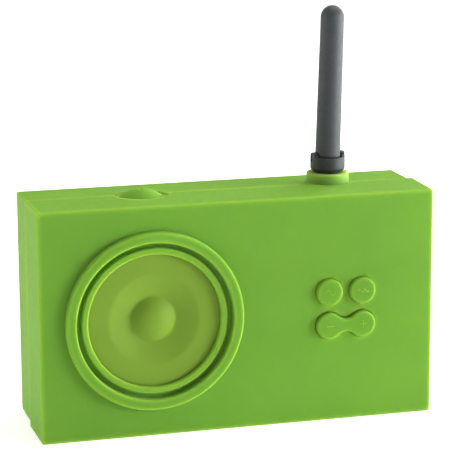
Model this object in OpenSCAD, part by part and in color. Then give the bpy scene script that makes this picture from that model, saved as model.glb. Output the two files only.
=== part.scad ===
// Splash-proof pocket radio in a two-part silicone skin, with a swivelling
// rubber aerial that turns the tuning capacitor.
// Millimetres.  +X right, +Y to the back, +Z up.
// Origin: middle of the flat underside.

/* [Body] */
// Width of the front skin
body_w = 140.6; // [140:0.1:141.4]
// Height of the front skin
body_h = 80.6; // [80.2:0.1:81]
// Depth from the front face to the back face
body_d = 41; // [40.6:0.1:42]
// Radius of the outer edges
edge_r = 0.5; // [0.4:0.1:1.6]
// Depth position of the joint between the two skins
parting_y = 0.7; // [0:0.1:1]
// How far the rear skin is set in from the front skin, each side
rear_step = 0.7; // [0.4:0.1:0.8]

/* [Speaker] */
// Speaker centre, to the left of the middle
speaker_x = -30.3; // [-31:0.1:-30]
// Speaker centre, height
speaker_z = 40.7; // [40:0.1:41]
// Outer diameter of the raised rim
rim_d = 62.2; // [60:0.1:64]
// Height of the raised rim above the face
rim_h = 2.4; // [1.6:0.1:3]
// Inner diameter of the raised rim
rim_bore = 54.7; // [54.2:0.1:55.4]
// Outer diameter of the inner bead
bead_d = 51.1; // [50.8:0.1:51.6]
// Height of the inner bead above the face
bead_h = 1.0; // [0.6:0.1:1.6]
// Visible diameter of the membrane
membrane_d = 46.4; // [46:0.1:47]

/* [Keys] */
// Diameter of the round keys and of the rocker lobes
key_d = 9.5; // [9:0.1:9.8]
// How far the keys stand proud of the face
key_h = 1.7; // [1.2:0.1:2.2]
// Left key column
key_x1 = 31.9; // [31.8:0.1:32.2]
// Right key column
key_x2 = 43.9; // [43.8:0.1:44.4]
// Height of the band keys
band_z = 46.3; // [46.2:0.1:47.4]
// Height of the volume rocker
volume_z = 34.3; // [34:0.1:34.8]

/* [Power button] */
// Power button centre, to the left of the middle
power_x = -29.6; // [-30:0.1:-28]
// Diameter of the power button
power_d = 15.0; // [14.6:0.1:15.6]
// Height of the dome above the top face
power_h = 1.8; // [1.4:0.1:3]
// Diameter of the recess round the button
recess_d = 19; // [18:0.1:20]
// Depth of that recess
recess_h = 1.0; // [0.8:0.1:1.2]

/* [Aerial] */
// Aerial axis, to the right of the middle
aerial_x = 39.1; // [38.8:0.1:39.2]
// Aerial axis, depth
aerial_y = 3.6; // [3:0.1:3.8]
// Diameter of the boss
boss_d = 15.1; // [14.8:0.1:16.2]
// Height of the top of the boss
boss_top = 84.1; // [84:0.1:84.4]
// Diameter of the swivel collar
collar_d = 12.3; // [12.2:0.1:13]
// Height of the hinge pin
hinge_z = 89.2; // [89.1:0.1:89.6]
// Turn of the collar from square with the box, degrees
collar_turn = 7; // [0:1:12]
// Diameter of the rod at its root
rod_d = 8.9; // [8.6:0.1:8.9]
// Diameter of the rod just below its round tip
rod_tip_d = 8.2; // [7.8:0.1:8.8]
// Height of the tip of the rod
rod_top = 143; // [120:0.5:160]
// Sideways lean of the rod in its collar, degrees
rod_lean = 1.8; // [0:0.05:1.8]

/* [Batteries] */
// Diameter of an AA cell
cell_d = 14.2; // [13.8:0.1:14.3]
// Length of the cell's can, without its contact nub
cell_can = 49; // [48.5:0.1:49]

/* [Hidden] */
$fn = 64;

hw = body_w / 2;
yf = -body_d / 2;          // front face
yb = body_d / 2;           // back face
skin = 2;                  // skin thickness
wall = 1.8;                // case wall
gap = 0.05;                // assembly gap between skin and case
cx = 68;                   // half width of the skin's cavity
cz0 = 2;                   // cavity floor
cz1 = body_h - 2.1;        // cavity roof
ky0 = yf + skin;           // cavity front
ky1 = yb - skin;           // cavity back
ox = cx - gap;             // case outside
oz0 = cz0 + gap;
oz1 = cz1 - gap;
oy0 = ky0 + gap;
oy1 = ky1 - gap;
ix = ox - wall;            // case inside
iz0 = oz0 + wall;
iz1 = oz1 - wall;
iy0 = oy0 + wall;
iy1 = oy1 - wall;
key_r = key_d / 2;
key_y = yf - key_h;        // front of the keys
board_y = iy0 + 5.15;      // front of the main board
neck = 4.8;                // rocker neck height
rock_x = (key_x1 + key_x2) / 2;
rock_y = oy0 + 0.75;       // rocker pivot
rocker_gap = 0.3;
power_r = power_d / 2;
gear_m = 0.8;              // gear module
pin_t = 20;                // pinion teeth
cap_t = 30;                // capacitor gear teeth
cap_x = aerial_x - gear_m * (pin_t + cap_t) / 2;
gear_z = 71;
gear_h = 2.8;
hub_r = 4.5;
hub_z = 81;
shaft_r = 3;
shaft_z = 64.5;
collar_z = boss_top + 0.3;
wall_top = hinge_z + 0.4;           // front and back walls of the collar
ear_top = hinge_z + 2.1;            // ears of the collar
slot_r = 4.7;              // half width of the collar slot
slot_y = 0.8;              // stretch of the slot in depth
bay_x0 = 8.5; bay_x1 = 62.5;
bay_z0 = 12.5; bay_z1 = 58.5;
cell_y = 8.25;
cell_z = [20.2, 35.5, 50.8];
door_x0 = 4.5; door_x1 = 66.5;
door_z0 = 4.9; door_z1 = 66.1;
door_y = oy1 + 0.2;        // underside of the door panel
door_screw_at = [[9.5, 8.2], [61.5, 8.2], [9.5, 62.8], [61.5, 62.8]];
case_screw_at = [[-62.5, 7.5], [-62.5, 72.5], [62.5, 72.5], [0.8, 7.5]];
board_screw_at = [[8.5, 8.5], [61.5, 8.5], [8.5, 58.5], [61.5, 58.5]];
speaker_screw_r = 31;
ferrite_z = 67;
green = [0.46, 0.70, 0.24];
key_green = [0.49, 0.73, 0.26];
olive = [0.50, 0.64, 0.24];
dark = [0.27, 0.30, 0.29];
steel = [0.72, 0.73, 0.75];
shell = [0.16, 0.17, 0.17];
pcb = [0.05, 0.33, 0.20];
copper = [0.80, 0.52, 0.27];

function arc(x, y, r, a0, a1, n = 8) =
    [for (i = [0:n]) let (a = a0 + (a1 - a0) * i / n) [x + r * cos(a), y + r * sin(a)]];
function inv(a) = tan(a) * 180 / PI - a;

// ---- shared shapes ----
module rrect(x0, x1, z0, z1, r) {
    translate([x0 + r, z0]) square([x1 - x0 - 2 * r, z1 - z0]);
    translate([x0, z0 + r]) square([x1 - x0, z1 - z0 - 2 * r]);
    for (x = [x0 + r, x1 - r], z = [z0 + r, z1 - r]) translate([x, z]) circle(r);
}
module prism_y(x0, x1, z0, z1, r, y0, y1)
    translate([0, y1, 0]) rotate([90, 0, 0]) linear_extrude(y1 - y0) rrect(x0, x1, z0, z1, r);
module prism_z(x0, x1, y0, y1, r, z0, z1)
    translate([0, 0, z0]) linear_extrude(z1 - z0) rrect(x0, x1, y0, y1, r);
module prism_x(y0, y1, z0, z1, r, x0, x1)
    translate([x0, 0, 0]) rotate([90, 0, 90]) linear_extrude(x1 - x0) rrect(y0, y1, z0, z1, r);
module block(x0, x1, y0, y1, z0, z1)
    translate([x0, y0, z0]) cube([x1 - x0, y1 - y0, z1 - z0]);
module rod_y(x, z, r, y0, y1)
    translate([x, y0, z]) rotate([-90, 0, 0]) cylinder(r = r, h = y1 - y0);
module rod_x(y, z, r, x0, x1)
    translate([x0, y, z]) rotate([0, 90, 0]) cylinder(r = r, h = x1 - x0);
module rod_z(x, y, r, z0, z1)
    translate([x, y, z0]) cylinder(r = r, h = z1 - z0);
// turned about a line along +Y; the profile is [radius, depth]
module turn_y(x, z, pts)
    translate([x, 0, z]) rotate([-90, 0, 0]) rotate_extrude() polygon(pts);
module turn_z(x, y, pts)
    translate([x, y, 0]) rotate_extrude() polygon(pts);
// dumbbell outline of the rocker, grown by g, with round necks
function dumbbell_pts(g) = let (dx = (key_x2 - key_x1) / 2, h = neck / 2,
    rn = (dx * dx + h * h - key_r * key_r) / (2 * (key_r - h)), a = atan2(h + rn, dx), m = rock_x)
    concat(arc(key_x2, volume_z, key_r + g, a - 180, 180 - a, 28),
        arc(m, volume_z + h + rn, rn - g, -a, a - 180, 9),
        arc(key_x1, volume_z, key_r + g, a, 360 - a, 28),
        arc(m, volume_z - h - rn, rn - g, 180 - a, a, 9));
module dumbbell(g, y0, y1)
    translate([0, y1, 0]) rotate([90, 0, 0]) linear_extrude(y1 - y0) polygon(dumbbell_pts(g));
module gear(teeth, h, turn) {
    rp = gear_m * teeth / 2;
    rb = rp * cos(20);
    ra = rp + 0.92 * gear_m;
    rf = rp - 1.25 * gear_m;
    half = 90 / teeth * 0.94;
    rs = [for (i = [0:4]) rb + (ra - rb) * i / 4];
    th = [for (r = rs) half + inv(20) - inv(acos(min(1, rb / r)))];
    linear_extrude(h) polygon([for (t = [0:teeth - 1]) let (c = turn + 360 * t / teeth)
        each concat(
            [[rf * cos(c - th[0]), rf * sin(c - th[0])]],
            [for (i = [0:4]) [rs[i] * cos(c - th[i]), rs[i] * sin(c - th[i])]],
            [for (i = [4:-1:0]) [rs[i] * cos(c + th[i]), rs[i] * sin(c + th[i])]],
            [[rf * cos(c + th[0]), rf * sin(c + th[0])]])]);
}
// flat wave mark of n half waves, each of radius r, raised from the key
module wave_mark(x, z, n, r) {
    for (i = [0:n - 1]) {
        xc = x + (i - (n - 1) / 2) * 2 * r;
        up = i % 2 == 0;
        intersection() {
            difference() {
                rod_y(xc, z, r + 0.19, key_y - 0.22, key_y + 0.3);
                rod_y(xc, z, r - 0.19, key_y - 0.3, key_y + 0.4);
            }
            block(xc - 3, xc + 3, key_y - 0.4, key_y + 0.5, up ? z : z - 3, up ? z + 3 : z);
        }
    }
}
module screw_y(x, z, r, head_r, y_tip, y_seat, head_h) {
    // head towards +Y
    difference() {
        union() {
            rod_y(x, z, r, y_tip, y_seat + head_h / 2);
            rod_y(x, z, head_r, y_seat, y_seat + head_h);
        }
        block(x - head_r * 0.62, x + head_r * 0.62, y_seat + head_h * 0.45, y_seat + head_h + 1, z - 0.28, z + 0.28);
        block(x - 0.28, x + 0.28, y_seat + head_h * 0.45, y_seat + head_h + 1, z - head_r * 0.62, z + head_r * 0.62);
    }
}

// ---- skin ----
module front_skin() color(green) difference() {
    union() {
        intersection() {
            prism_y(-hw, hw, 0, body_h, edge_r, yf, parting_y);
            prism_z(-hw, hw, yf, parting_y + 4, edge_r, 0, body_h);
            prism_x(yf, parting_y + 4, 0, body_h, edge_r, -hw, hw);
        }
        // raised rim
        turn_y(speaker_x, speaker_z, concat(
            [[rim_bore / 2, yf + 1]],
            arc(rim_bore / 2 + 0.6, yf - rim_h + 0.6, 0.6, 180, 270),
            arc(rim_d / 2 - 0.8, yf - rim_h + 0.8, 0.8, -90, 0),
            [[rim_d / 2, yf + 1]]));
        // inner bead
        turn_y(speaker_x, speaker_z, concat(
            [[membrane_d / 2 - 0.1, yf + 1]],
            arc(membrane_d / 2 + 0.5, yf - bead_h + 0.6, 0.6, 180, 270),
            arc(bead_d / 2 - 0.6, yf - bead_h + 0.6, 0.6, -90, 0),
            [[bead_d / 2, yf + 1]]));
    }
    prism_y(-cx, cx, cz0, cz1, 1, ky0, parting_y + 1);
    // groove between rim and bead
    difference() {
        rod_y(speaker_x, speaker_z, rim_bore / 2, yf - 0.5, yf + 1.2);
        rod_y(speaker_x, speaker_z, bead_d / 2, yf - 1, yf + 2);
    }
    // seat of the membrane
    rod_y(speaker_x, speaker_z, membrane_d / 2, yf - 2, ky0 + 1);
    rod_y(speaker_x, speaker_z, membrane_d / 2 + 1.6, yf + 0.9, ky0 + 1);
    for (x = [key_x1, key_x2]) rod_y(x, band_z, key_r + 0.1, yf - 1, ky0 + 1);
    dumbbell(rocker_gap, yf - 1, ky0 + 1);
    power_cut();
    aerial_cut();
}
module power_cut() {
    rod_z(power_x, parting_y, power_r + 0.1, cz1 - 1, body_h + 1);
    rod_z(power_x, parting_y, recess_d / 2, body_h - recess_h, body_h + 1);
}
module aerial_cut() {
    rod_z(aerial_x, aerial_y, 6.6, cz1 - 5, body_h + 1);
    rod_z(aerial_x, aerial_y, boss_d / 2 + 0.1, body_h - rear_step, body_h + 1);
}
module rear_skin() color(green) difference() {
    union() {
        intersection() {
            prism_y(-hw + rear_step, hw - rear_step, rear_step, body_h - rear_step, edge_r, parting_y, yb);
            prism_z(-hw + rear_step, hw - rear_step, parting_y - 4, yb, edge_r, rear_step, body_h - rear_step);
            prism_x(parting_y - 4, yb, rear_step, body_h - rear_step, edge_r, -hw + rear_step, hw - rear_step);
        }
        // two rest pads level with the front skin
        for (x = [-58, 46]) block(x, x + 12, 13, 18, 0, 1);
    }
    prism_y(-cx, cx, cz0, cz1, 1, parting_y - 1, ky1);
    prism_y(door_x0 - 0.1, door_x1 + 0.1, door_z0 - 0.1, door_z1 + 0.1, 3.1, ky1 - 1, yb + 1);
    power_cut();
    aerial_cut();
}

// ---- membrane ----
module speaker_membrane() color(olive) {
    r0 = membrane_d / 2 - 0.1;
    f = yf;
    rd = 7.4;
    turn_y(speaker_x, speaker_z, concat(
        // front: dome, cone, flat ring, step to the clamped flange
        [for (i = [0:8]) let (r = rd * i / 8) [r, f + 2.6 - 2.9 * (1 - pow(r / rd, 2.4))]],
        [[8.0, f + 2.9], [15.2, f + 0.95], [15.9, f + 0.8], [r0, f + 0.8], [r0, f + 0.95],
         [membrane_d / 2 + 1.5, f + 0.95], [membrane_d / 2 + 1.5, f + 1.95],
         [16.1, f + 1.95], [15.6, f + 1.7], [8.6, f + 3.6], [7.0, f + 3.6]],
        [for (i = [6:-1:0]) let (r = rd * i / 8) [r, f + 3.4 - 2.9 * (1 - pow(r / rd, 2.4))]]));
}

// ---- keys ----
module key_body(x, z) {
    turn_y(x, z, concat([[0, key_y]],
        arc(key_r - 0.9, key_y + 0.9, 0.9, -90, 0, 6),
        [[key_r, iy0 + 0.05], [key_r + 1.05, iy0 + 0.05], [key_r + 1.05, iy0 + 1.05],
         [3, iy0 + 1.05], [3, iy0 + 3.25], [0, iy0 + 3.25]]));
}
module pill(x, z, y0, y1) rod_y(x, z, 2.2, y0, y1);
module am_key() color(key_green) union() { key_body(key_x1, band_z); wave_mark(key_x1, band_z, 2, 0.82); }
module fm_key() color(key_green) union() { key_body(key_x2, band_z); wave_mark(key_x2, band_z, 4, 0.5); }
module am_contact_pill() color(shell) pill(key_x1, band_z, iy0 + 3.27, iy0 + 4.2);
module fm_contact_pill() color(shell) pill(key_x2, band_z, iy0 + 3.27, iy0 + 4.2);
module volume_rocker() color(key_green) difference() {
    union() {
        for (x = [key_x1, key_x2]) {
            turn_y(x, volume_z, concat([[0, key_y]],
                arc(key_r - 0.9, key_y + 0.9, 0.9, -90, 0, 6),
                [[key_r, iy0 + 1], [0, iy0 + 1]]));
            rod_y(x, volume_z, 2.6, iy0 + 0.5, iy0 + 3.45);
        }
        dumbbell(-0.02, key_y + 0.35, iy0 + 0.9);
        // minus and plus marks
        block(key_x1 - 1.4, key_x1 + 1.4, key_y - 0.22, key_y + 0.3, volume_z - 0.24, volume_z + 0.24);
        block(key_x2 - 1.4, key_x2 + 1.4, key_y - 0.22, key_y + 0.3, volume_z - 0.24, volume_z + 0.24);
        block(key_x2 - 0.24, key_x2 + 0.24, key_y - 0.22, key_y + 0.3, volume_z - 1.4, volume_z + 1.4);
    }
    rod_z(rock_x, rock_y, 0.74, volume_z - 4, volume_z + 4);
}
module rocker_pills() color(shell) for (x = [key_x1, key_x2]) pill(x, volume_z, iy0 + 3.47, iy0 + 4.5);
module rocker_pin() color(steel) rod_z(rock_x, rock_y, 0.7, volume_z - 5.8, volume_z + 5.8);

// ---- power button ----
module power_button() color(key_green) difference() {
    rise = power_h + recess_h - 0.2;
    R = (power_r * power_r + rise * rise) / (2 * rise);
    union() {
        intersection() {
            rod_z(power_x, parting_y, power_r, iz1 - 0.05, body_h + 5);
            translate([power_x, parting_y, body_h + power_h - R]) sphere(R, $fn = 96);
        }
        rod_z(power_x, parting_y, power_r - 0.02, iz1 - 0.8, body_h - recess_h);
        rod_z(power_x, parting_y, power_r + 1, iz1 - 1.5, iz1 - 0.05);
        rod_z(power_x, parting_y, 3, iz1 - 2.9, iz1 - 1);
    }
    translate([power_x, parting_y, body_h + power_h + 0.35]) sphere(0.9, $fn = 32);
}
module power_pill() color(shell) rod_z(power_x, parting_y, 2.2, iz1 - 3.9, iz1 - 2.92);

// ---- aerial ----
module aerial_bushing() color(green) difference() {
    union() {
        turn_z(aerial_x, aerial_y, concat(
            [[0, body_h - rear_step + 0.05], [boss_d / 2, body_h - rear_step + 0.05]],
            [[boss_d / 2, body_h + 0.8]],
            arc(boss_d / 2 - 0.5, boss_top - 0.45, 0.45, 0, 90, 6),
            [[0, boss_top]]));
        rod_z(aerial_x, aerial_y, 6.5, iz1 - 1, body_h);
        rod_z(aerial_x, aerial_y, 8, iz1 - 2, iz1 - 0.05);
    }
    rod_z(aerial_x, aerial_y, shaft_r + 0.05, iz1 - 3, boss_top + 1);
    rod_z(aerial_x, aerial_y, hub_r + 0.05, hub_z - 0.1, boss_top + 1);
    rod_z(aerial_x, aerial_y, hub_r + 1.6, hub_z + 0.7, hub_z + 2.3);
}
module shaft_o_ring() color(shell)
    translate([aerial_x, aerial_y, hub_z + 1.5]) rotate_extrude() translate([hub_r + 0.78, 0]) circle(0.75, $fn = 24);
module turned() translate([aerial_x, aerial_y, 0]) rotate([0, 0, collar_turn]) translate([-aerial_x, -aerial_y, 0]) children();
module aerial_collar() color(dark) turned() difference() {
    union() {
        turn_z(aerial_x, aerial_y, concat(
            [[0, collar_z], [collar_d / 2 - 0.9, collar_z], [collar_d / 2 - 0.1, collar_z + 0.8], [collar_d / 2, collar_z + 1.1]],
            arc(collar_d / 2 - 0.5, ear_top - 0.5, 0.5, 0, 90, 5),
            [[0, ear_top]]));
        rod_z(aerial_x, aerial_y, hub_r, hub_z, collar_z + 1);
    }
    // slot for the knuckle
    for (s = [-1, 1]) rod_z(aerial_x, aerial_y + s * slot_y, slot_r, hinge_z - 3.35, ear_top + 1);
    block(aerial_x - slot_r, aerial_x + slot_r, aerial_y - slot_y, aerial_y + slot_y, hinge_z - 3.35, ear_top + 1);
    // above the wall only two round ears are left, one at each end of the pin
    difference() {
        block(aerial_x - 8, aerial_x + 8, aerial_y - 8, aerial_y + 8, wall_top, ear_top + 1);
        rod_x(aerial_y, hinge_z, ear_top - hinge_z, aerial_x - 9, aerial_x + 9);
    }
    rod_x(aerial_y, hinge_z, 1.26, aerial_x - 8, aerial_x + 8);
    rod_z(aerial_x, aerial_y, shaft_r + 0.02, hub_z - 1, collar_z - 0.6);
}
module aerial_shaft() color(steel) difference() {
    rod_z(aerial_x, aerial_y, shaft_r, shaft_z, collar_z - 0.7);
    difference() {
        rod_z(aerial_x, aerial_y, shaft_r + 1, gear_z - 0.9, gear_z - 0.1);
        rod_z(aerial_x, aerial_y, shaft_r - 0.6, gear_z - 1, gear_z);
    }
}
module thrust_washer() color(steel) difference() {
    rod_z(aerial_x, aerial_y, 5, gear_z + gear_h + 0.05, iz1 - 2.05);
    rod_z(aerial_x, aerial_y, shaft_r + 0.1, gear_z, iz1);
}
module shaft_pinion() color([0.9, 0.88, 0.8]) translate([aerial_x, aerial_y, gear_z]) difference() {
    gear(pin_t, gear_h, 0);
    translate([0, 0, -1]) cylinder(r = shaft_r + 0.02, h = gear_h + 2);
}
module retaining_clip() color(steel) difference() {
    rod_z(aerial_x, aerial_y, shaft_r + 1.5, gear_z - 0.85, gear_z - 0.15);
    rod_z(aerial_x, aerial_y, shaft_r - 0.58, gear_z - 2, gear_z);
    block(aerial_x - 1.8, aerial_x + 1.8, aerial_y - 8, aerial_y - 1, gear_z - 2, gear_z);
}
module hinge_pin() color(steel) turned() rod_x(aerial_y, hinge_z, 1.22, aerial_x - 5.85, aerial_x + 5.85);
module in_rod() translate([aerial_x, aerial_y, hinge_z]) rotate([0, rod_lean, 0]) children();
module aerial_knuckle() color(dark) turned() difference() {
    union() {
        intersection() {
            rod_z(aerial_x, aerial_y, 4.45, hinge_z - 3.2, hinge_z + 0.2);
            rod_x(aerial_y, hinge_z, 3.2, aerial_x - 6, aerial_x + 6);
        }
        in_rod() cylinder(r = 2.5, h = 10);
    }
    rod_x(aerial_y, hinge_z, 1.26, aerial_x - 8, aerial_x + 8);
    in_rod() translate([0, 0, 4]) cylinder(r = 0.82, h = 8);
}
module aerial_rod() color(dark) turned() difference() {
    L = rod_top - hinge_z;
    r0 = rod_d / 2;
    r1 = rod_tip_d / 2;
    in_rod() difference() {
        rotate_extrude() polygon(concat(
            [[0, 0.38], [r0, 0.38]], arc(0, L - r1, r1, 0, 90, 14)));
        translate([0, 0, -1]) cylinder(r = 2.55, h = 11.1);
        translate([0, 0, 5]) cylinder(r = 0.82, h = 33);
    }
    // clears the hinge pin
    rod_x(aerial_y, hinge_z, 1.28, aerial_x - 8, aerial_x + 8);
}
module aerial_core() color(steel) turned() in_rod() translate([0, 0, 4.1]) cylinder(r = 0.8, h = 33.5);

// ---- battery door ----
module battery_door() color(green) difference() {
    union() {
        intersection() {
            prism_y(door_x0, door_x1, door_z0, door_z1, 3, door_y, yb);
            prism_z(door_x0, door_x1, door_y - 3, yb, 0.6, door_z0, door_z1);
            prism_x(door_y - 3, yb, door_z0, door_z1, 0.6, door_x0, door_x1);
        }
        prism_y(bay_x0 + 0.1, bay_x1 - 0.1, bay_z0 + 0.1, bay_z1 - 0.1, 1.5, iy1 + 0.2, door_y + 0.2);
    }
    prism_y(bay_x0 + 1.4, bay_x1 - 1.4, bay_z0 + 1.4, bay_z1 - 1.4, 1, iy1 - 1, door_y);
    // groove for the gasket
    difference() {
        prism_y(bay_x0 - 1.9, bay_x1 + 1.9, bay_z0 - 1.9, bay_z1 + 1.9, 2.5, door_y - 0.5, door_y + 0.8);
        prism_y(bay_x0 - 0.75, bay_x1 + 0.75, bay_z0 - 0.75, bay_z1 + 0.75, 1.5, door_y - 1, door_y + 2);
    }
    for (p = door_screw_at) {
        rod_y(p[0], p[1], 1.4, door_y - 1, yb + 1);
        rod_y(p[0], p[1], 2.6, yb - 1.1, yb + 1);
    }
}
module door_gasket() color(shell) difference() {
    prism_y(bay_x0 - 1.85, bay_x1 + 1.85, bay_z0 - 1.85, bay_z1 + 1.85, 2.4, oy1 + 0.03, door_y + 0.75);
    prism_y(bay_x0 - 0.8, bay_x1 + 0.8, bay_z0 - 0.8, bay_z1 + 0.8, 1.6, oy1 - 1, door_y + 2);
}
module door_screws() color(steel) for (p = door_screw_at)
    screw_y(p[0], p[1], 1.25, 2.4, 9.5, yb - 1.08, 0.95);

// ---- case ----
module case_holes() {
    rod_z(power_x, parting_y, power_r + 0.1, iz1 - 1, oz1 + 1);
    rod_z(aerial_x, aerial_y, 6.6, iz1 - 1, oz1 + 1);
}
module front_case() color(shell) difference() {
    union() {
        difference() {
            prism_y(-ox, ox, oz0, oz1, 2, oy0, parting_y - gap);
            prism_y(-ix, ix, iz0, iz1, 1, iy0, parting_y + 1);
        }
        for (p = case_screw_at) rod_y(p[0], p[1], 3, iy0 - 0.5, parting_y - gap);
        for (p = board_screw_at) rod_y(p[0], p[1], 2.3, iy0 - 0.5, board_y);
        for (a = [45:90:315])
            rod_y(speaker_x + speaker_screw_r * cos(a), speaker_z + speaker_screw_r * sin(a), 2.3, iy0 - 0.5, iy0 + 1.2);
        // posts for the power board and the tuner board
        for (x = [power_x - 12, power_x + 12]) rod_z(x, -2.5, 2.2, 71.6, iz1 + 0.5);
        for (x = [9, 52]) rod_z(x, -13, 2.2, 69.8, iz1 + 0.5);
        // ribs behind the rocker pin
        for (s = [-1, 1]) block(rock_x - 1.5, rock_x + 1.5, iy0 - 0.5, iy0 + 1, volume_z + s * 5 - 1.2, volume_z + s * 5 + 1.2);
    }
    rod_y(speaker_x, speaker_z, 23.4, oy0 - 1, iy0 + 1);
    for (x = [key_x1, key_x2]) rod_y(x, band_z, key_r + 0.1, oy0 - 1, iy0 + 1);
    dumbbell(rocker_gap, oy0 - 1, iy0 + 0.02);
    // seats of the rocker pin, open to the front
    rod_z(rock_x, rock_y, 0.72, volume_z - 6, volume_z + 6);
    block(rock_x - 0.72, rock_x + 0.72, oy0 - 1, rock_y, volume_z - 6, volume_z + 6);
    for (p = case_screw_at) rod_y(p[0], p[1], 1.5, -9, parting_y + 1);
    for (p = board_screw_at) rod_y(p[0], p[1], 0.95, board_y - 4.2, board_y + 1);
    for (a = [45:90:315])
        rod_y(speaker_x + speaker_screw_r * cos(a), speaker_z + speaker_screw_r * sin(a), 0.95, iy0 - 1, iy0 + 2);
    for (x = [power_x - 12, power_x + 12]) rod_z(x, -2.5, 0.95, 70, 75);
    for (x = [9, 52]) rod_z(x, -13, 0.95, 68, 73.6);
    // groove for the seal
    difference() {
        prism_y(-ox + 0.45, ox - 0.45, oz0 + 0.45, oz1 - 0.45, 1.6, parting_y - 0.85, parting_y + 1);
        prism_y(-ix - 0.45, ix + 0.45, iz0 - 0.45, iz1 + 0.45, 1.2, parting_y - 1, parting_y + 2);
    }
    case_holes();
}
module case_seal() color([0.35, 0.35, 0.33]) difference() {
    prism_y(-ox + 0.5, ox - 0.5, oz0 + 0.5, oz1 - 0.5, 1.55, parting_y - 0.8, parting_y + 0.02);
    prism_y(-ix - 0.5, ix + 0.5, iz0 - 0.5, iz1 + 0.5, 1.25, parting_y - 1, parting_y + 2);
    case_holes();
}
module rear_case() color(shell) difference() {
    union() {
        difference() {
            prism_y(-ox, ox, oz0, oz1, 2, parting_y + gap, oy1);
            prism_y(-ix, ix, iz0, iz1, 1, parting_y - 1, iy1);
        }
        for (p = case_screw_at) rod_y(p[0], p[1], 3.4, parting_y + gap, iy1 + 0.5);
        for (p = door_screw_at) rod_y(p[0], p[1], 2.8, 8.5, iy1 + 0.5);
        block(bay_x0 - 1.5, bay_x1 + 1.5, -0.8, iy1 + 0.5, bay_z0 - 1.5, bay_z1 + 1.5);
    }
    block(bay_x0, bay_x1, 0.8, oy1 + 1, bay_z0, bay_z1);
    for (p = case_screw_at) {
        rod_y(p[0], p[1], 1.55, 0, oy1);
        rod_y(p[0], p[1], 2.9, 8, oy1 + 1);
    }
    for (p = door_screw_at) rod_y(p[0], p[1], 1.3, 9, oy1 + 1);
    // slots for the tails of the contact plates
    block(bay_x0 - 0.01, bay_x0 + 0.55, -2, 2, 18.9, 21.5);
    block(bay_x1 - 0.55, bay_x1 + 0.01, -2, 2, 49.5, 52.1);
    case_holes();
}
module case_screws() color(steel) for (p = case_screw_at)
    screw_y(p[0], p[1], 1.45, 2.7, -8, 8.02, 2);

// ---- speaker ----
module speaker_basket() color([0.30, 0.31, 0.33]) difference() {
    union() {
        turn_y(speaker_x, speaker_z, [[23.1, iy0 + 0.02], [28.4, iy0 + 0.02], [28.4, iy0 + 1.18], [26.3, iy0 + 1.18],
            [17, -6], [11, -6], [11, -7], [16.4, -7], [25.2, iy0 + 1.0], [23.1, iy0 + 1.0]]);
        block(speaker_x + 16, speaker_x + 20.3, -7, -6, speaker_z - 3.5, speaker_z + 3.5);
    }
    // windows
    for (a = [45:90:315]) translate([speaker_x, 0, speaker_z]) rotate([0, a, 0])
        block(17.6, 40, iy0 + 2.4, -7.6, -8, 8);
}
module speaker_top_plate() color(steel) difference() {
    rod_y(speaker_x, speaker_z, 15, -5.98, -3);
    rod_y(speaker_x, speaker_z, 6.9, -7, -2);
}
module speaker_magnet() color([0.22, 0.22, 0.24]) difference() {
    rod_y(speaker_x, speaker_z, 16.5, -2.98, 4);
    rod_y(speaker_x, speaker_z, 8.5, -4, 5);
}
module speaker_yoke() color(steel) union() {
    rod_y(speaker_x, speaker_z, 15, 4.02, 7);
    rod_y(speaker_x, speaker_z, 5.8, -6, 5);
}
module speaker_cone() color([0.2, 0.2, 0.2])
    turn_y(speaker_x, speaker_z, [[6.25, -10.6], [6.9, -11.2], [19.3, iy0 + 0.55], [20.6, iy0 + 0.55], [20.6, iy0 + 1.05],
        [19.5, iy0 + 1.05], [7.2, -10.4], [7.2, -9.4], [6.25, -9.4]]);
module dust_cap() color([0.12, 0.12, 0.12])
    turn_y(speaker_x, speaker_z, concat(
        [for (i = [0:8]) let (a = i * 4.1) [12 * sin(a), -1.4 - 12 * cos(a)]],
        [for (i = [8:-1:0]) let (a = i * 4.1) [11.5 * sin(a), -1.3 - 11.5 * cos(a)]]));
module voice_coil() color(copper) difference() {
    rod_y(speaker_x, speaker_z, 6.2, -10.6, -3.9);
    rod_y(speaker_x, speaker_z, 6.05, -12, -3);
}
module speaker_surround() color([0.1, 0.1, 0.1])
    turn_y(speaker_x, speaker_z, concat(
        [[19.8, iy0 + 0.2]], arc(21.6, iy0 + 0.2, 1.15, 180, 360, 10),
        [[23.05, iy0 + 0.2], [23.05, iy0 + 0.55]],
        arc(21.6, iy0 + 0.55, 0.75, 360, 180, 10), [[20.85, iy0 + 0.5], [19.8, iy0 + 0.5]]));
module speaker_spider() color([0.75, 0.6, 0.3])
    turn_y(speaker_x, speaker_z, concat(
        [for (i = [0:20]) [7.3 + 7.5 * i / 20, -8.4 + 0.35 * sin(i * 90)]],
        [for (i = [20:-1:0]) [7.3 + 7.5 * i / 20, -8.05 + 0.35 * sin(i * 90)]]));
module speaker_screws() color(steel) for (a = [45:90:315])
    screw_y(speaker_x + speaker_screw_r * cos(a), speaker_z + speaker_screw_r * sin(a), 0.9, 3.4, iy0 - 0.9, iy0 + 1.22, 1.1);

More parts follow.
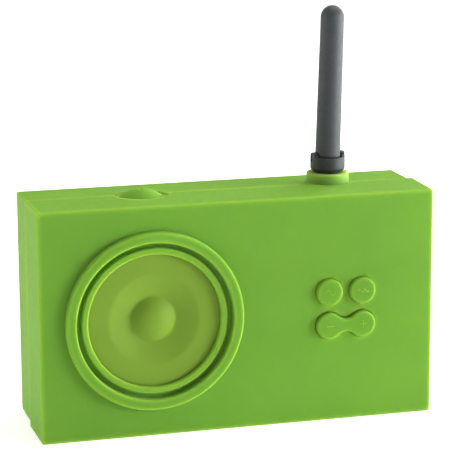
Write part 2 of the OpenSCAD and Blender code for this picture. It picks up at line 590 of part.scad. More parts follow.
// ---- boards ----
module main_board() color(pcb) difference() {
    block(4.8, 65, board_y + 0.02, board_y + 1.62, 5.5, 62.5);
    for (p = board_screw_at) rod_y(p[0], p[1], 1.05, board_y - 1, board_y + 3);
}
module key_contacts() color(copper) for (p = [[key_x1, band_z], [key_x2, band_z], [key_x1, volume_z], [key_x2, volume_z]])
    rod_y(p[0], p[1], 2.6, board_y - 0.1, board_y);
module tuner_chip() color(shell) block(32, 42, board_y + 1.64, board_y + 3.8, 38, 46);
module amplifier_chip() color(shell) block(14, 23, board_y + 1.64, board_y + 3.8, 26, 33);
module electrolytics() color([0.15, 0.2, 0.35]) for (p = [[15, 54], [24, 54], [33, 54]])
    rod_y(p[0], p[1], 3.1, board_y + 1.64, board_y + 9);
module if_cans() color([0.8, 0.8, 0.78]) for (p = [[50, 14], [50, 24], [50, 34]])
    block(p[0] - 3.5, p[0] + 3.5, board_y + 1.64, board_y + 9, p[1] - 3.5, p[1] + 3.5);
module board_screws() color(steel) {
    for (p = board_screw_at) screw_y(p[0], p[1], 0.9, 1.9, board_y - 4, board_y + 1.64, 1.2);
    for (p = [[power_x - 12, -2.5, 70], [power_x + 12, -2.5, 70], [9, -13, 68.6], [52, -13, 68.6]])
        translate([p[0], p[1], p[2] - 0.02]) difference() {
            union() {
                translate([0, 0, -1.2]) cylinder(r = 1.9, h = 1.2);
                translate([0, 0, -0.6]) cylinder(r = 0.9, h = 5.4);
            }
            translate([-1.2, -0.25, -2]) cube([2.4, 0.5, 1.4]);
        }
}
module power_board() color(pcb) difference() {
    block(power_x - 15, power_x + 15, -5.5, 5.5, 70, 71.58);
    for (x = [power_x - 12, power_x + 12]) rod_z(x, -2.5, 1.05, 69, 73);
}
module power_contact() color(copper) rod_z(power_x, parting_y, 2.6, 71.6, 71.7);
module tuner_board() color(pcb) difference() {
    block(5, 56, -15, 13, 68.6, 69.78);
    for (x = [9, 52]) rod_z(x, -13, 1.05, 67, 71);
    rod_z(aerial_x, aerial_y, 3.6, 67, 71);
    rod_z(cap_x, aerial_y, 3.4, 67, 71);
}
module tuning_capacitor() color([0.85, 0.85, 0.8]) difference() {
    block(cap_x - 6.2, cap_x + 6.2, aerial_y - 7.5, aerial_y + 7.5, 60.6, 68.58);
    rod_z(cap_x, aerial_y, shaft_r + 0.05, 62, 70);
}
module capacitor_gear() color([0.9, 0.88, 0.8]) union() {
    translate([cap_x, aerial_y, gear_z]) gear(cap_t, gear_h, 180 / cap_t);
    rod_z(cap_x, aerial_y, shaft_r, 62.2, gear_z + 1);
    rod_z(cap_x, aerial_y, 4.5, gear_z + 1, gear_z + gear_h + 0.9);
}
module shaft_wiper() color(copper) union() {
    block(aerial_x - 2, aerial_x + 13, aerial_y - 2, aerial_y + 2, shaft_z - 0.45, shaft_z - 0.05);
    block(aerial_x + 12.6, aerial_x + 13, aerial_y - 2, aerial_y + 2, shaft_z - 0.45, 68.58);
}

// ---- ferrite aerial ----
module ferrite_rod() color([0.18, 0.17, 0.17]) rod_x(11, ferrite_z, 4, -57, -5);
module ferrite_coil() color(copper) difference() {
    rod_x(11, ferrite_z, 5.2, -38, -22);
    rod_x(11, ferrite_z, 4.05, -39, -21);
}
module ferrite_clips() color([0.85, 0.83, 0.75]) for (x = [-51, -12]) difference() {
    union() {
        rod_x(11, ferrite_z, 5.3, x - 1.5, x + 1.5);
        block(x - 1.5, x + 1.5, 8.5, 13.5, ferrite_z, iz1 - 0.05);
    }
    rod_x(11, ferrite_z, 4.05, x - 3, x + 3);
}

// ---- batteries ----
module cell(z, right) {
    x0 = right ? bay_x1 - 0.5 - 1.4 - cell_can : bay_x0 + 0.5 + 1.4;
    rod_x(cell_y, z, cell_d / 2, x0, x0 + cell_can);
    if (right) rod_x(cell_y, z, 2.75, x0 + cell_can - 1, x0 + cell_can + 1.4);
    else rod_x(cell_y, z, 2.75, x0 - 1.4, x0 + 1);
}
module battery_cells() color([0.75, 0.75, 0.78]) {
    cell(cell_z[0], true);
    cell(cell_z[1], false);
    cell(cell_z[2], true);
}
// conical coil along +X from x0 to x1
module coil(x0, x1, y, z, ra, rb, turns, wire, n = 14) {
    steps = turns * n;
    pts = [for (i = [0:steps]) for (j = [0:5]) let (
        t = i / steps, a = 360 * i / n, R = ra + (rb - ra) * t + wire * cos(60 * j),
        h = x0 + wire + (x1 - x0 - 2 * wire) * t + wire * sin(60 * j)) [h, y + R * cos(a), z + R * sin(a)]];
    polyhedron(pts, concat(
        [[5, 4, 3, 2, 1, 0]],
        [for (i = [0:steps - 1]) for (j = [0:5]) let (k = (j + 1) % 6) [i * 6 + j, i * 6 + k, i * 6 + 6 + k, i * 6 + 6 + j]],
        [[for (j = [0:5]) steps * 6 + j]]));
}
module battery_springs() color(steel) {
    xr = bay_x0 + 0.46;
    for (z = [cell_z[0], cell_z[2]]) coil(xr, bay_x1 - 0.5 - 1.4 - cell_can - 0.03, cell_y, z, 5, 2.6, 3, 0.3);
    mirror([1, 0, 0]) coil(-bay_x1 + 0.46, -(bay_x0 + 0.5 + 1.4 + cell_can) - 0.03, cell_y, cell_z[1], 5, 2.6, 3, 0.3);
}
module battery_plates() color(steel) {
    // left: minus plate of the lowest cell, link between the upper two
    block(bay_x0 + 0.05, bay_x0 + 0.45, 1, 15, cell_z[0] - 6, cell_z[0] + 6);
    block(bay_x0 + 0.05, bay_x0 + 0.45, board_y + 1.66, 2, 19.2, 21.2);
    block(bay_x0 + 0.05, bay_x0 + 0.45, 1, 15, cell_z[1] - 6, cell_z[2] + 6);
    // right: link between the lower two, plus plate of the top cell
    block(bay_x1 - 0.45, bay_x1 - 0.05, 1, 15, cell_z[0] - 6, cell_z[1] + 6);
    block(bay_x1 - 0.45, bay_x1 - 0.05, 1, 15, cell_z[2] - 6, cell_z[2] + 6);
    block(bay_x1 - 0.45, bay_x1 - 0.05, board_y + 1.66, 2, 49.8, 51.8);
}
// round lead through points that lie nearly level
module lead(path, r, n = 8) {
    m = len(path);
    dirs = [for (i = [0:m - 1]) let (d = path[min(m - 1, i + 1)] - path[max(0, i - 1)]) d / norm(d)];
    pts = [for (i = [0:m - 1]) let (d = dirs[i], u = cross(d, [0, 0, 1]), v = u / norm(u), w = cross(v, d))
        for (j = [0:n - 1]) path[i] + r * (cos(360 * j / n) * v + sin(360 * j / n) * w)];
    polyhedron(pts, concat(
        [[for (j = [0:n - 1]) j]],
        [for (i = [0:m - 2]) for (j = [0:n - 1]) let (k = (j + 1) % n) [i * n + j, i * n + n + j, i * n + n + k, i * n + k]],
        [[for (j = [n - 1:-1:0]) (m - 1) * n + j]]));
}
module speaker_leads() for (s = [0, 1]) color(s == 0 ? [0.7, 0.1, 0.1] : [0.1, 0.1, 0.1])
    lead([[speaker_x + 18.4, -5.45, speaker_z + 2 - 4 * s], [speaker_x + 20, -4.3, speaker_z + 2 - 4 * s],
        [-7, -3.4, speaker_z + 2 - 4 * s], [-3, -3.2, speaker_z + 2.4 - 4 * s], [1, -3.4, speaker_z + 3 - 4 * s],
        [5, -4.6, speaker_z + 3 - 4 * s], [7.4, -6.4, speaker_z + 3 - 4 * s], [8, -9, speaker_z + 3 - 4 * s]], 0.5);

front_skin();
rear_skin();
speaker_membrane();
am_key();
fm_key();
am_contact_pill();
fm_contact_pill();
volume_rocker();
rocker_pills();
rocker_pin();
power_button();
power_pill();
aerial_bushing();
shaft_o_ring();
aerial_collar();
aerial_shaft();
thrust_washer();
shaft_pinion();
retaining_clip();
hinge_pin();
aerial_knuckle();
aerial_rod();
aerial_core();
battery_door();
door_gasket();
door_screws();
front_case();
rear_case();
case_seal();
case_screws();
speaker_basket();
speaker_top_plate();
speaker_magnet();
speaker_yoke();
speaker_cone();
dust_cap();
voice_coil();
speaker_surround();
speaker_spider();
speaker_screws();
main_board();
key_contacts();
tuner_chip();
amplifier_chip();
electrolytics();
if_cans();
board_screws();
power_board();
power_contact();
tuner_board();
tuning_capacitor();
capacitor_gear();
shaft_wiper();
ferrite_rod();
ferrite_coil();
ferrite_clips();
battery_cells();
battery_springs();
battery_plates();
speaker_leads();
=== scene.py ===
import math

import bpy
import bmesh
from mathutils import Matrix, Vector


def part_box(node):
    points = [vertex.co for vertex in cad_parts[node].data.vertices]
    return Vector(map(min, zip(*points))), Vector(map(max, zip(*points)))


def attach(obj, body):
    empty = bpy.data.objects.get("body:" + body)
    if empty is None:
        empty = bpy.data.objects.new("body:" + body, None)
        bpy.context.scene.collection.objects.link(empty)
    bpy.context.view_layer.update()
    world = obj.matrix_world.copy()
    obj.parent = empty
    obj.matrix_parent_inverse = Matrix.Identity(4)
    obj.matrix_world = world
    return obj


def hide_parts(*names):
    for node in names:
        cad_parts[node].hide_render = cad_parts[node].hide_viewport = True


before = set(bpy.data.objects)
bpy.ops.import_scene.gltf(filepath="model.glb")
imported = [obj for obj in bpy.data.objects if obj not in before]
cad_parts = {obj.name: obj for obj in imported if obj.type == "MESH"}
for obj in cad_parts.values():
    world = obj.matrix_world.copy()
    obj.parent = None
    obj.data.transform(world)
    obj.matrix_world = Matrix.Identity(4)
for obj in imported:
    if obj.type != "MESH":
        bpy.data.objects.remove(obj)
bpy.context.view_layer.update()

MM = 0.001
PI = math.pi

# ---------------------------------------------------------------- camera ----
def make_camera(f_px, az, el, roll, loc_mm):
    a, e, r = (math.radians(v) for v in (az, el, roll))
    back = Vector((math.sin(a) * math.cos(e), -math.cos(a) * math.cos(e), math.sin(e)))
    right = (-back).cross(Vector((0, 0, 1))).normalized()
    up = right.cross(-back)
    c, s = math.cos(r), math.sin(r)
    r2 = c * right + s * up
    u2 = -s * right + c * up
    data = bpy.data.cameras.new("camera")
    data.sensor_width = 36.0
    data.lens = f_px * 36.0 / 450.0
    data.clip_start, data.clip_end = 0.01, 50.0
    cam = bpy.data.objects.new("camera", data)
    m = Matrix.Identity(4)
    for i in range(3):
        m[i][0], m[i][1], m[i][2] = r2[i], u2[i], back[i]
        m[i][3] = loc_mm[i] * MM
    cam.matrix_world = m
    bpy.context.scene.collection.objects.link(cam)
    bpy.context.scene.camera = cam
    return cam


make_camera(2100.0, -15.536, 12.377, -0.272, (-192.0, -691.7, 225.3))

# ------------------------------------------------------------ mesh helpers --
def new_object(name, verts, faces):
    """verts in millimetres, in the row frame."""
    me = bpy.data.meshes.new(name)
    me.from_pydata([(x * MM, y * MM, z * MM) for x, y, z in verts], [], faces)
    bm = bmesh.new()
    bm.from_mesh(me)
    bmesh.ops.recalc_face_normals(bm, faces=bm.faces)
    bm.to_mesh(me)
    bm.free()
    o = bpy.data.objects.new(name, me)
    bpy.context.scene.collection.objects.link(o)
    return o


def arc(x, y, r, a0, a1, n=6):
    return [(x + r * math.cos(math.radians(a0 + (a1 - a0) * i / n)),
             y + r * math.sin(math.radians(a0 + (a1 - a0) * i / n))) for i in range(n + 1)]


def turn(name, prof, axis, centre, n=160):
    """A closed outline of (radius, height) turned about a line along Y or Z. centre is (x, z) for Y and (x, y) for Z."""
    clean = []
    for p in prof:
        if not clean or math.dist(p, clean[-1]) > 1e-5:
            clean.append(p)
    if math.dist(clean[0], clean[-1]) < 1e-5:
        clean.pop()
    verts, rows = [], []
    for r, h in clean:
        if r < 1e-5:
            rows.append([len(verts)] * n)
            verts.append((centre[0], h, centre[1]) if axis == "y" else (centre[0], centre[1], h))
            continue
        rows.append(list(range(len(verts), len(verts) + n)))
        for k in range(n):
            a = 2 * PI * k / n
            u, v = r * math.cos(a), r * math.sin(a)
            verts.append((centre[0] + u, h, centre[1] + v) if axis == "y" else (centre[0] + u, centre[1] + v, h))
    faces = []
    m = len(clean)
    for i in range(m):
        j = (i + 1) % m
        if clean[i][0] < 1e-5 and clean[j][0] < 1e-5:
            continue
        for k in range(n):
            l = (k + 1) % n
            f = []
            for v in (rows[i][k], rows[i][l], rows[j][l], rows[j][k]):
                if v not in f:
                    f.append(v)
            faces.append(f)
    return new_object(name, verts, faces)


def stack(name, rings, cap=True):
    """Closed skin over rings of equal point count, capped at both ends."""
    n = len(rings[0])
    verts = [p for ring in rings for p in ring]
    faces = []
    for i in range(len(rings) - 1):
        for k in range(n):
            l = (k + 1) % n
            faces.append([i * n + k, i * n + l, (i + 1) * n + l, (i + 1) * n + k])
    if cap:
        faces.append(list(range(n)))
        faces.append([(len(rings) - 1) * n + k for k in range(n)])
    return new_object(name, verts, faces)


def rrect(hx, z0, z1, rc, m=6, x=0.0, extra=0):
    """Rounded rectangle outline in the XZ plane; extra points along each straight run."""
    pts = []
    for cx, cz, a in ((x + hx - rc, z1 - rc, 0), (x - hx + rc, z1 - rc, 90), (x - hx + rc, z0 + rc, 180), (x + hx - rc, z0 + rc, 270)):
        pts += arc(cx, cz, rc, a, a + 90, m)
    if extra:
        out = []
        q = m + 1
        for i in range(4):
            out += pts[i * q:(i + 1) * q]
            a, b = pts[(i + 1) * q - 1], pts[((i + 1) * q) % len(pts)]
            for k in range(1, extra + 1):
                t = k / (extra + 1)
                out.append((a[0] + (b[0] - a[0]) * t, a[1] + (b[1] - a[1]) * t))
        pts = out
    return pts


def apply_modifiers(o):
    bpy.context.view_layer.update()
    dg = bpy.context.evaluated_depsgraph_get()
    me = bpy.data.meshes.new_from_object(o.evaluated_get(dg))
    old = o.data
    o.modifiers.clear()
    o.data = me
    bpy.data.meshes.remove(old)


def weld(o, dist=2e-6):
    bm = bmesh.new()
    bm.from_mesh(o.data)
    bmesh.ops.remove_doubles(bm, verts=bm.verts, dist=dist)
    bmesh.ops.dissolve_degenerate(bm, edges=bm.edges, dist=dist)
    loose = [v for v in bm.verts if not v.link_faces]
    bmesh.ops.delete(bm, geom=loose, context="VERTS")
    bm.to_mesh(o.data)
    bm.free()


def boolean(o, other, op):
    for b in (other if isinstance(other, (list, tuple)) else [other]):
        m = o.modifiers.new("b", "BOOLEAN")
        m.operation, m.object, m.solver = op, b, "EXACT"
        apply_modifiers(o)
        bpy.data.objects.remove(b)
    return o


def bevel(o, width, angle=35, segments=3):
    m = o.modifiers.new("v", "BEVEL")
    m.width, m.segments, m.limit_method = width * MM, segments, "ANGLE"
    m.angle_limit = math.radians(angle)
    m.use_clamp_overlap = True
    apply_modifiers(o)


def smooth(o, angle=38, weighted=True):
    me = o.data
    me.polygons.foreach_set("use_smooth", [True] * len(me.polygons))
    me.set_sharp_from_angle(angle=math.radians(angle))
    if weighted:
        m = o.modifiers.new("normals", "WEIGHTED_NORMAL")
        m.mode, m.weight, m.keep_sharp = "FACE_AREA", 60, True
    return o


def box(name, x0, x1, y0, y1, z0, z1):
    v = [(x, y, z) for x in (x0, x1) for y in (y0, y1) for z in (z0, z1)]
    return new_object(name, v, [[0, 1, 3, 2], [4, 6, 7, 5], [0, 4, 5, 1], [2, 3, 7, 6], [0, 2, 6, 4], [1, 5, 7, 3]])


# --------------------------------------------------------------- materials --
def ramp(nt, fac, stops):
    r = nt.nodes.new("ShaderNodeValToRGB")
    while len(r.color_ramp.elements) > 2:
        r.color_ramp.elements.remove(r.color_ramp.elements[-1])
    for i, (p, c) in enumerate(stops):
        e = r.color_ramp.elements[i] if i < 2 else r.color_ramp.elements.new(p)
        e.position = p
        e.color = (*c, 1) if len(c) == 3 else c
    nt.links.new(fac, r.inputs[0])
    return r.outputs[0]


def noise(nt, vec, scale, detail=3.0, rough=0.5, kind="ShaderNodeTexNoise"):
    n = nt.nodes.new(kind)
    n.inputs["Scale"].default_value = scale
    if "Detail" in n.inputs:
        n.inputs["Detail"].default_value = detail
        n.inputs["Roughness"].default_value = rough
    nt.links.new(vec, n.inputs["Vector"])
    return n.outputs[0]


def maprange(nt, val, a, b, c, d):
    n = nt.nodes.new("ShaderNodeMapRange")
    for i, v in enumerate((a, b, c, d)):
        n.inputs[1 + i].default_value = v
    nt.links.new(val, n.inputs[0])
    return n.outputs[0]


def mixcol(nt, fac, a, b, mode="MIX"):
    n = nt.nodes.new("ShaderNodeMix")
    n.data_type, n.blend_type = "RGBA", mode
    for sock, v in ((n.inputs[0], fac), (n.inputs[6], a), (n.inputs[7], b)):
        if isinstance(v, (int, float)):
            sock.default_value = v
        elif isinstance(v, tuple):
            sock.default_value = (*v, 1)
        else:
            nt.links.new(v, sock)
    return n.outputs[2]


def math_node(nt, op, a, b=0.0):
    n = nt.nodes.new("ShaderNodeMath")
    n.operation = op
    for i, v in enumerate((a, b)):
        if isinstance(v, (int, float)):
            n.inputs[i].default_value = v
        else:
            nt.links.new(v, n.inputs[i])
    return n.outputs[0]


def edge_mask(nt, radius):
    """1 along edges within radius, 0 on open faces."""
    b = nt.nodes.new("ShaderNodeBevel")
    b.samples = 4
    b.inputs["Radius"].default_value = radius
    g = nt.nodes.new("ShaderNodeNewGeometry")
    d = nt.nodes.new("ShaderNodeVectorMath")
    d.operation = "DOT_PRODUCT"
    nt.links.new(b.outputs[0], d.inputs[0])
    nt.links.new(g.outputs["True Normal"], d.inputs[1])
    return maprange(nt, d.outputs["Value"], 0.995, 0.8, 0.0, 1.0)


def thin_masks(nt, distance):
    """First mask: 1 at outside corners and thin lips, where light comes through, 0 within distance and in hollows; it
    carries a painted glow of light.
    Second mask: 1 deep in grooves and inside corners, where a paler colour is painted in as painted light that lifts
    their shade."""
    out = []
    for inside, dist, a0, a1 in ((True, distance, 0.97, 0.5), (False, 0.003, 0.5, 0.85)):
        a = nt.nodes.new("ShaderNodeAmbientOcclusion")
        a.samples = 5
        a.inside = inside
        a.only_local = True
        a.inputs["Distance"].default_value = dist
        out.append(maprange(nt, a.outputs["AO"], a0, a1, 0.0, 1.0))
    return math_node(nt, "MULTIPLY", out[0], out[1]), maprange(nt, a.outputs["AO"], 0.8, 0.3, 0.0, 1.0)


def start_material(name, colour):
    m = bpy.data.materials.new(name)
    m.use_nodes = True
    nt = m.node_tree
    bsdf = nt.nodes["Principled BSDF"]
    bsdf.inputs["Base Color"].default_value = (*colour, 1)
    m.diffuse_color = (*colour, 1)
    tc = nt.nodes.new("ShaderNodeTexCoord")
    return m, nt, bsdf, tc.outputs["Object"]


def bump(nt, height, strength, distance, normal=None):
    b = nt.nodes.new("ShaderNodeBump")
    b.inputs["Strength"].default_value = strength
    b.inputs["Distance"].default_value = distance
    nt.links.new(height, b.inputs["Height"])
    if normal is not None:
        nt.links.new(normal, b.inputs["Normal"])
    return b.outputs[0]


def silicone(name, colour, sss=1.0, scale=0.0026, rough=(0.54, 0.68), grain=0.16, edge=0.30, edge_r=0.0005, shift=0.05, spec=0.08, radius=(1.0, 0.82, 0.14), painted_edge_light=0.8, painted_edge_light_reach=0.0018):
    """Matt translucent rubber: fine moulded grain, soft cloudy tone, paler edges that are partly wear and partly
    painted light, a few dust specks, a painted glow along thin edges and a painted lift of the shade in grooves.
    """
    m, nt, b, co = start_material(name, colour)
    dark = tuple(c * (1 - shift) for c in colour)
    lite = tuple(min(1, c * (1 + shift)) for c in colour)
    cloud = noise(nt, co, 26, 3, 0.55)
    col = ramp(nt, cloud, [(0.32, dark), (0.7, lite)])
    speck = noise(nt, co, 2600, 2, 0.6)
    col = mixcol(nt, maprange(nt, speck, 0.62, 0.78, 0.0, 0.10), col, tuple(min(1, c * 1.25 + 0.03) for c in colour))
    if edge:
        # paler, yellower edge colour: partly wear, partly painted light from light shining through the thin edges
        worn_and_lit_edge_colour = tuple(min(1, c * k + a) for c, k, a in zip(colour, (1.55, 1.25, 1.15), (0.03, 0.03, 0.005)))
        col = mixcol(nt, math_node(nt, "MULTIPLY", edge_mask(nt, edge_r), edge), col, worn_and_lit_edge_colour)
    # painted light: a brighter, yellower colour painted along thin edges and lips, standing in for light shining
    # through the rubber
    if painted_edge_light:
        painted_light_colour = tuple(min(1, c * k) for c, k in zip(colour, (1.8, 1.38, 1.3)))
        thin, hollow = thin_masks(nt, painted_edge_light_reach)
        col = mixcol(nt, math_node(nt, "MULTIPLY", thin, painted_edge_light), col, painted_light_colour)
        # painted light: a paler colour painted into grooves and inside corners to lift their shade
        painted_hollow_light = tuple(c * 1.22 + a for c, a in zip(colour, (0.035, 0.04, 0.035)))
        col = mixcol(nt, math_node(nt, "MULTIPLY", hollow, 0.5), col, painted_hollow_light)
    nt.links.new(col, b.inputs["Base Color"])
    r = noise(nt, co, 420, 4, 0.6)
    nt.links.new(maprange(nt, r, 0.3, 0.7, rough[0], rough[1]), b.inputs["Roughness"])
    b.inputs["Subsurface Weight"].default_value = sss
    b.inputs["Subsurface Radius"].default_value = radius
    b.inputs["Subsurface Scale"].default_value = scale
    if painted_edge_light:
        nt.links.new(maprange(nt, thin, 0.0, 1.0, scale, scale * 1.8), b.inputs["Subsurface Scale"])
    b.inputs["IOR"].default_value = 1.41
    b.inputs["Specular IOR Level"].default_value = spec
    n1 = bump(nt, noise(nt, co, 62, 2, 0.5), 0.35, 0.00012)
    n2 = bump(nt, noise(nt, co, 1500, 3, 0.6), grain, 0.00004, n1)
    nt.links.new(n2, b.inputs["Normal"])
    return m


def rubber(name, colour, rough=(0.5, 0.66), grain=0.5, lite=1.5, sheen=0.15, fine=1700, spec=0.5):
    """Matt grey or black rubber or moulded plastic with spark-eroded grain, scuffs and paler edges."""
    m, nt, b, co = start_material(name, colour)
    cloud = noise(nt, co, 90, 5, 0.6)
    col = ramp(nt, cloud, [(0.3, tuple(c * 0.88 for c in colour)), (0.72, tuple(c * 1.14 for c in colour))])
    fleck = noise(nt, co, fine, 2, 0.6)
    col = mixcol(nt, maprange(nt, fleck, 0.55, 0.75, 0.0, 0.35), col, tuple(min(1, c * lite + 0.01) for c in colour))
    col = mixcol(nt, math_node(nt, "MULTIPLY", edge_mask(nt, 0.00035), 0.45), col, tuple(min(1, c * 1.9 + 0.02) for c in colour))
    nt.links.new(col, b.inputs["Base Color"])
    nt.links.new(maprange(nt, noise(nt, co, 700, 4, 0.6), 0.3, 0.7, rough[0], rough[1]), b.inputs["Roughness"])
    b.inputs["Specular IOR Level"].default_value = spec
    b.inputs["Sheen Weight"].default_value = sheen
    b.inputs["Sheen Roughness"].default_value = 0.4
    n1 = bump(nt, noise(nt, co, 240, 3, 0.6), 0.3, 0.00005)
    n2 = bump(nt, noise(nt, co, fine, 3, 0.65), grain, 0.00005, n1)
    nt.links.new(n2, b.inputs["Normal"])
    return m


def metal(name, colour, rough=(0.22, 0.4), stretch=(1, 1, 30), scale=900, wear=0.3, metallic=1.0):
    """Drawn, turned or plated metal: fine brushed streaks, stains and brighter edges."""
    m, nt, b, co = start_material(name, colour)
    mp = nt.nodes.new("ShaderNodeMapping")
    mp.inputs["Scale"].default_value = stretch
    nt.links.new(co, mp.inputs["Vector"])
    streak = noise(nt, mp.outputs[0], scale, 4, 0.6)
    stain = noise(nt, co, 160, 5, 0.65)
    col = ramp(nt, stain, [(0.3, tuple(c * 0.78 for c in colour)), (0.68, colour)])
    col = mixcol(nt, maprange(nt, streak, 0.4, 0.8, 0.0, 0.35), col, tuple(c * 0.7 for c in colour))
    col = mixcol(nt, math_node(nt, "MULTIPLY", edge_mask(nt, 0.0002), wear), col, tuple(min(1, c * 1.3 + 0.05) for c in colour))
    nt.links.new(col, b.inputs["Base Color"])
    b.inputs["Metallic"].default_value = metallic
    nt.links.new(maprange(nt, streak, 0.3, 0.7, rough[0], rough[1]), b.inputs["Roughness"])
    nt.links.new(bump(nt, streak, 0.25, 0.00002), b.inputs["Normal"])
    return m


def circuit_board(name):
    m, nt, b, co = start_material(name, (0.012, 0.12, 0.05))
    br = nt.nodes.new("ShaderNodeTexBrick")
    br.inputs["Scale"].default_value = 330
    br.inputs["Mortar Size"].default_value = 0.06
    br.inputs["Color1"].default_value = (0, 0, 0, 1)
    br.inputs["Color2"].default_value = (0.1, 0.1, 0.1, 1)
    br.inputs["Mortar"].default_value = (1, 1, 1, 1)
    mp = nt.nodes.new("ShaderNodeMapping")
    mp.inputs["Rotation"].default_value = (PI / 2, 0, 0)
    nt.links.new(co, mp.inputs["Vector"])
    nt.links.new(mp.outputs[0], br.inputs["Vector"])
    col = ramp(nt, noise(nt, co, 300, 4), [(0.3, (0.010, 0.095, 0.04)), (0.7, (0.016, 0.15, 0.062))])
    col = mixcol(nt, br.outputs["Color"], col, (0.03, 0.24, 0.10))
    pads = nt.nodes.new("ShaderNodeTexVoronoi")
    pads.inputs["Scale"].default_value = 260
    nt.links.new(co, pads.inputs["Vector"])
    col = mixcol(nt, maprange(nt, pads.outputs["Distance"], 0.16, 0.12, 0.0, 1.0), col, (0.62, 0.60, 0.55))
    nt.links.new(col, b.inputs["Base Color"])
    nt.links.new(maprange(nt, noise(nt, co, 900, 3), 0.3, 0.7, 0.25, 0.42), b.inputs["Roughness"])
    nt.links.new(bump(nt, br.outputs["Color"], 0.4, 0.00004), b.inputs["Normal"])
    return m


def wound_wire(name, colour, axis, pitch):
    """Enamelled wire laid turn by turn."""
    m, nt, b, co = start_material(name, colour)
    w = nt.nodes.new("ShaderNodeTexWave")
    w.bands_direction = axis
    w.inputs["Scale"].default_value = 1.0 / pitch / 2
    w.inputs["Distortion"].default_value = 0.4
    nt.links.new(co, w.inputs["Vector"])
    col = mixcol(nt, w.outputs[1], tuple(c * 0.45 for c in colour), colour)
    nt.links.new(col, b.inputs["Base Color"])
    b.inputs["Metallic"].default_value = 0.85
    nt.links.new(maprange(nt, noise(nt, co, 800), 0.3, 0.7, 0.25, 0.4), b.inputs["Roughness"])
    nt.links.new(bump(nt, w.outputs[1], 0.7, pitch * 0.5), b.inputs["Normal"])
    return m


def woven(name, colour, pitch):
    m, nt, b, co = start_material(name, colour)
    hs = []
    for d in ("X", "Z"):
        w = nt.nodes.new("ShaderNodeTexWave")
        w.bands_direction = d
        w.inputs["Scale"].default_value = 1.0 / pitch / 2
        w.inputs["Distortion"].default_value = 0.5
        nt.links.new(co, w.inputs["Vector"])
        hs.append(w.outputs[1])
    h = math_node(nt, "MAXIMUM", hs[0], hs[1])
    col = mixcol(nt, h, tuple(c * 0.45 for c in colour), colour)
    col = mixcol(nt, maprange(nt, noise(nt, co, 250, 4), 0.4, 0.7, 0.0, 0.4), col, tuple(c * 0.7 for c in colour))
    nt.links.new(col, b.inputs["Base Color"])
    nt.links.new(maprange(nt, noise(nt, co, 900), 0.3, 0.7, 0.7, 0.9), b.inputs["Roughness"])
    nt.links.new(bump(nt, h, 0.7, pitch * 0.3), b.inputs["Normal"])
    return m


GREEN = (0.133, 0.302, 0.033)
MAT = {
    "skin": silicone("green_silicone_skin", GREEN),
    "rear": silicone("green_silicone_rear", (0.136, 0.304, 0.033), painted_edge_light_reach=0.0011),
    "keys": silicone("green_silicone_keys", (0.128, 0.295, 0.030), scale=0.0022, grain=0.2, painted_edge_light=0.45),
    "power": silicone("green_silicone_power", (0.136, 0.304, 0.030), scale=0.0022, grain=0.2, painted_edge_light=0.5),
    "boss": silicone("green_clear_boss", (0.165, 0.335, 0.068), scale=0.0045, rough=(0.42, 0.54), grain=0.12, edge=0.5, spec=0.12, radius=(1.0, 0.85, 0.22)),
    "membrane": silicone("olive_membrane", (0.159, 0.272, 0.028), sss=0.6, scale=0.0012, rough=(0.52, 0.64), grain=0.10, edge=0.12, spec=0.14, painted_edge_light=0),
    "aerial": rubber("grey_aerial_rubber", (0.040, 0.046, 0.051), rough=(0.48, 0.62), grain=0.55, sheen=0.12, lite=1.7, spec=0.3),
    "collar": rubber("grey_collar_plastic", (0.017, 0.021, 0.022), rough=(0.42, 0.54), grain=0.45, sheen=0.04, lite=1.6, spec=0.4),
    "black_steel": metal("blackened_steel", (0.060, 0.064, 0.064), rough=(0.5, 0.65), wear=0.2, metallic=0.5),
    "black_plastic": rubber("black_plastic", (0.018, 0.019, 0.020), rough=(0.38, 0.52), grain=0.35, sheen=0.0),
    "black_rubber": rubber("black_rubber", (0.022, 0.022, 0.023), rough=(0.6, 0.78), grain=0.4, sheen=0.2),
    "white_nylon": silicone("natural_nylon", (0.66, 0.63, 0.54), sss=0.4, scale=0.001, rough=(0.36, 0.5), grain=0.25, edge=0.1, shift=0.04, radius=(1.0, 0.9, 0.7), painted_edge_light=0),
    "steel": metal("zinc_plated_steel", (0.60, 0.61, 0.63)),
    "screw": metal("stainless_screw", (0.56, 0.56, 0.57), rough=(0.2, 0.34), stretch=(6, 1, 6), scale=500, wear=0.5),
    "copper": metal("copper_contact", (0.78, 0.40, 0.19), rough=(0.24, 0.4)),
    "wire_x": wound_wire("litz_winding", (0.66, 0.33, 0.12), "X", 0.00035),
    "wire_y": wound_wire("voice_coil_winding", (0.70, 0.34, 0.13), "Y", 0.0002),
    "circuit_board": circuit_board("green_circuit_board"),
    "chip_black": rubber("chip_epoxy", (0.014, 0.014, 0.016), rough=(0.42, 0.58), grain=0.25, sheen=0.0),
    "can_metal": metal("tin_can", (0.62, 0.61, 0.58), rough=(0.28, 0.46), stretch=(8, 8, 1), scale=350),
    "sleeve": rubber("capacitor_sleeve", (0.012, 0.022, 0.070), rough=(0.22, 0.34), grain=0.1, sheen=0.0),
    "ferrite": rubber("ferrite_ceramic", (0.035, 0.033, 0.034), rough=(0.5, 0.7), grain=0.8, sheen=0.0, fine=1200),
    "cell_can": metal("cell_steel", (0.50, 0.51, 0.54), rough=(0.16, 0.3), stretch=(1, 20, 20), scale=300),
    "magnet": rubber("magnet_ceramic", (0.028, 0.028, 0.032), rough=(0.45, 0.62), grain=0.7, sheen=0.0, fine=1300),
    "cone_paper": rubber("cone_paper", (0.030, 0.028, 0.026), rough=(0.78, 0.92), grain=0.9, sheen=0.1, fine=900),
    "basket": rubber("painted_basket", (0.050, 0.053, 0.058), rough=(0.3, 0.44), grain=0.3, sheen=0.0),
    "spider_cloth": woven("spider_cloth", (0.42, 0.24, 0.06), 0.0004),
}


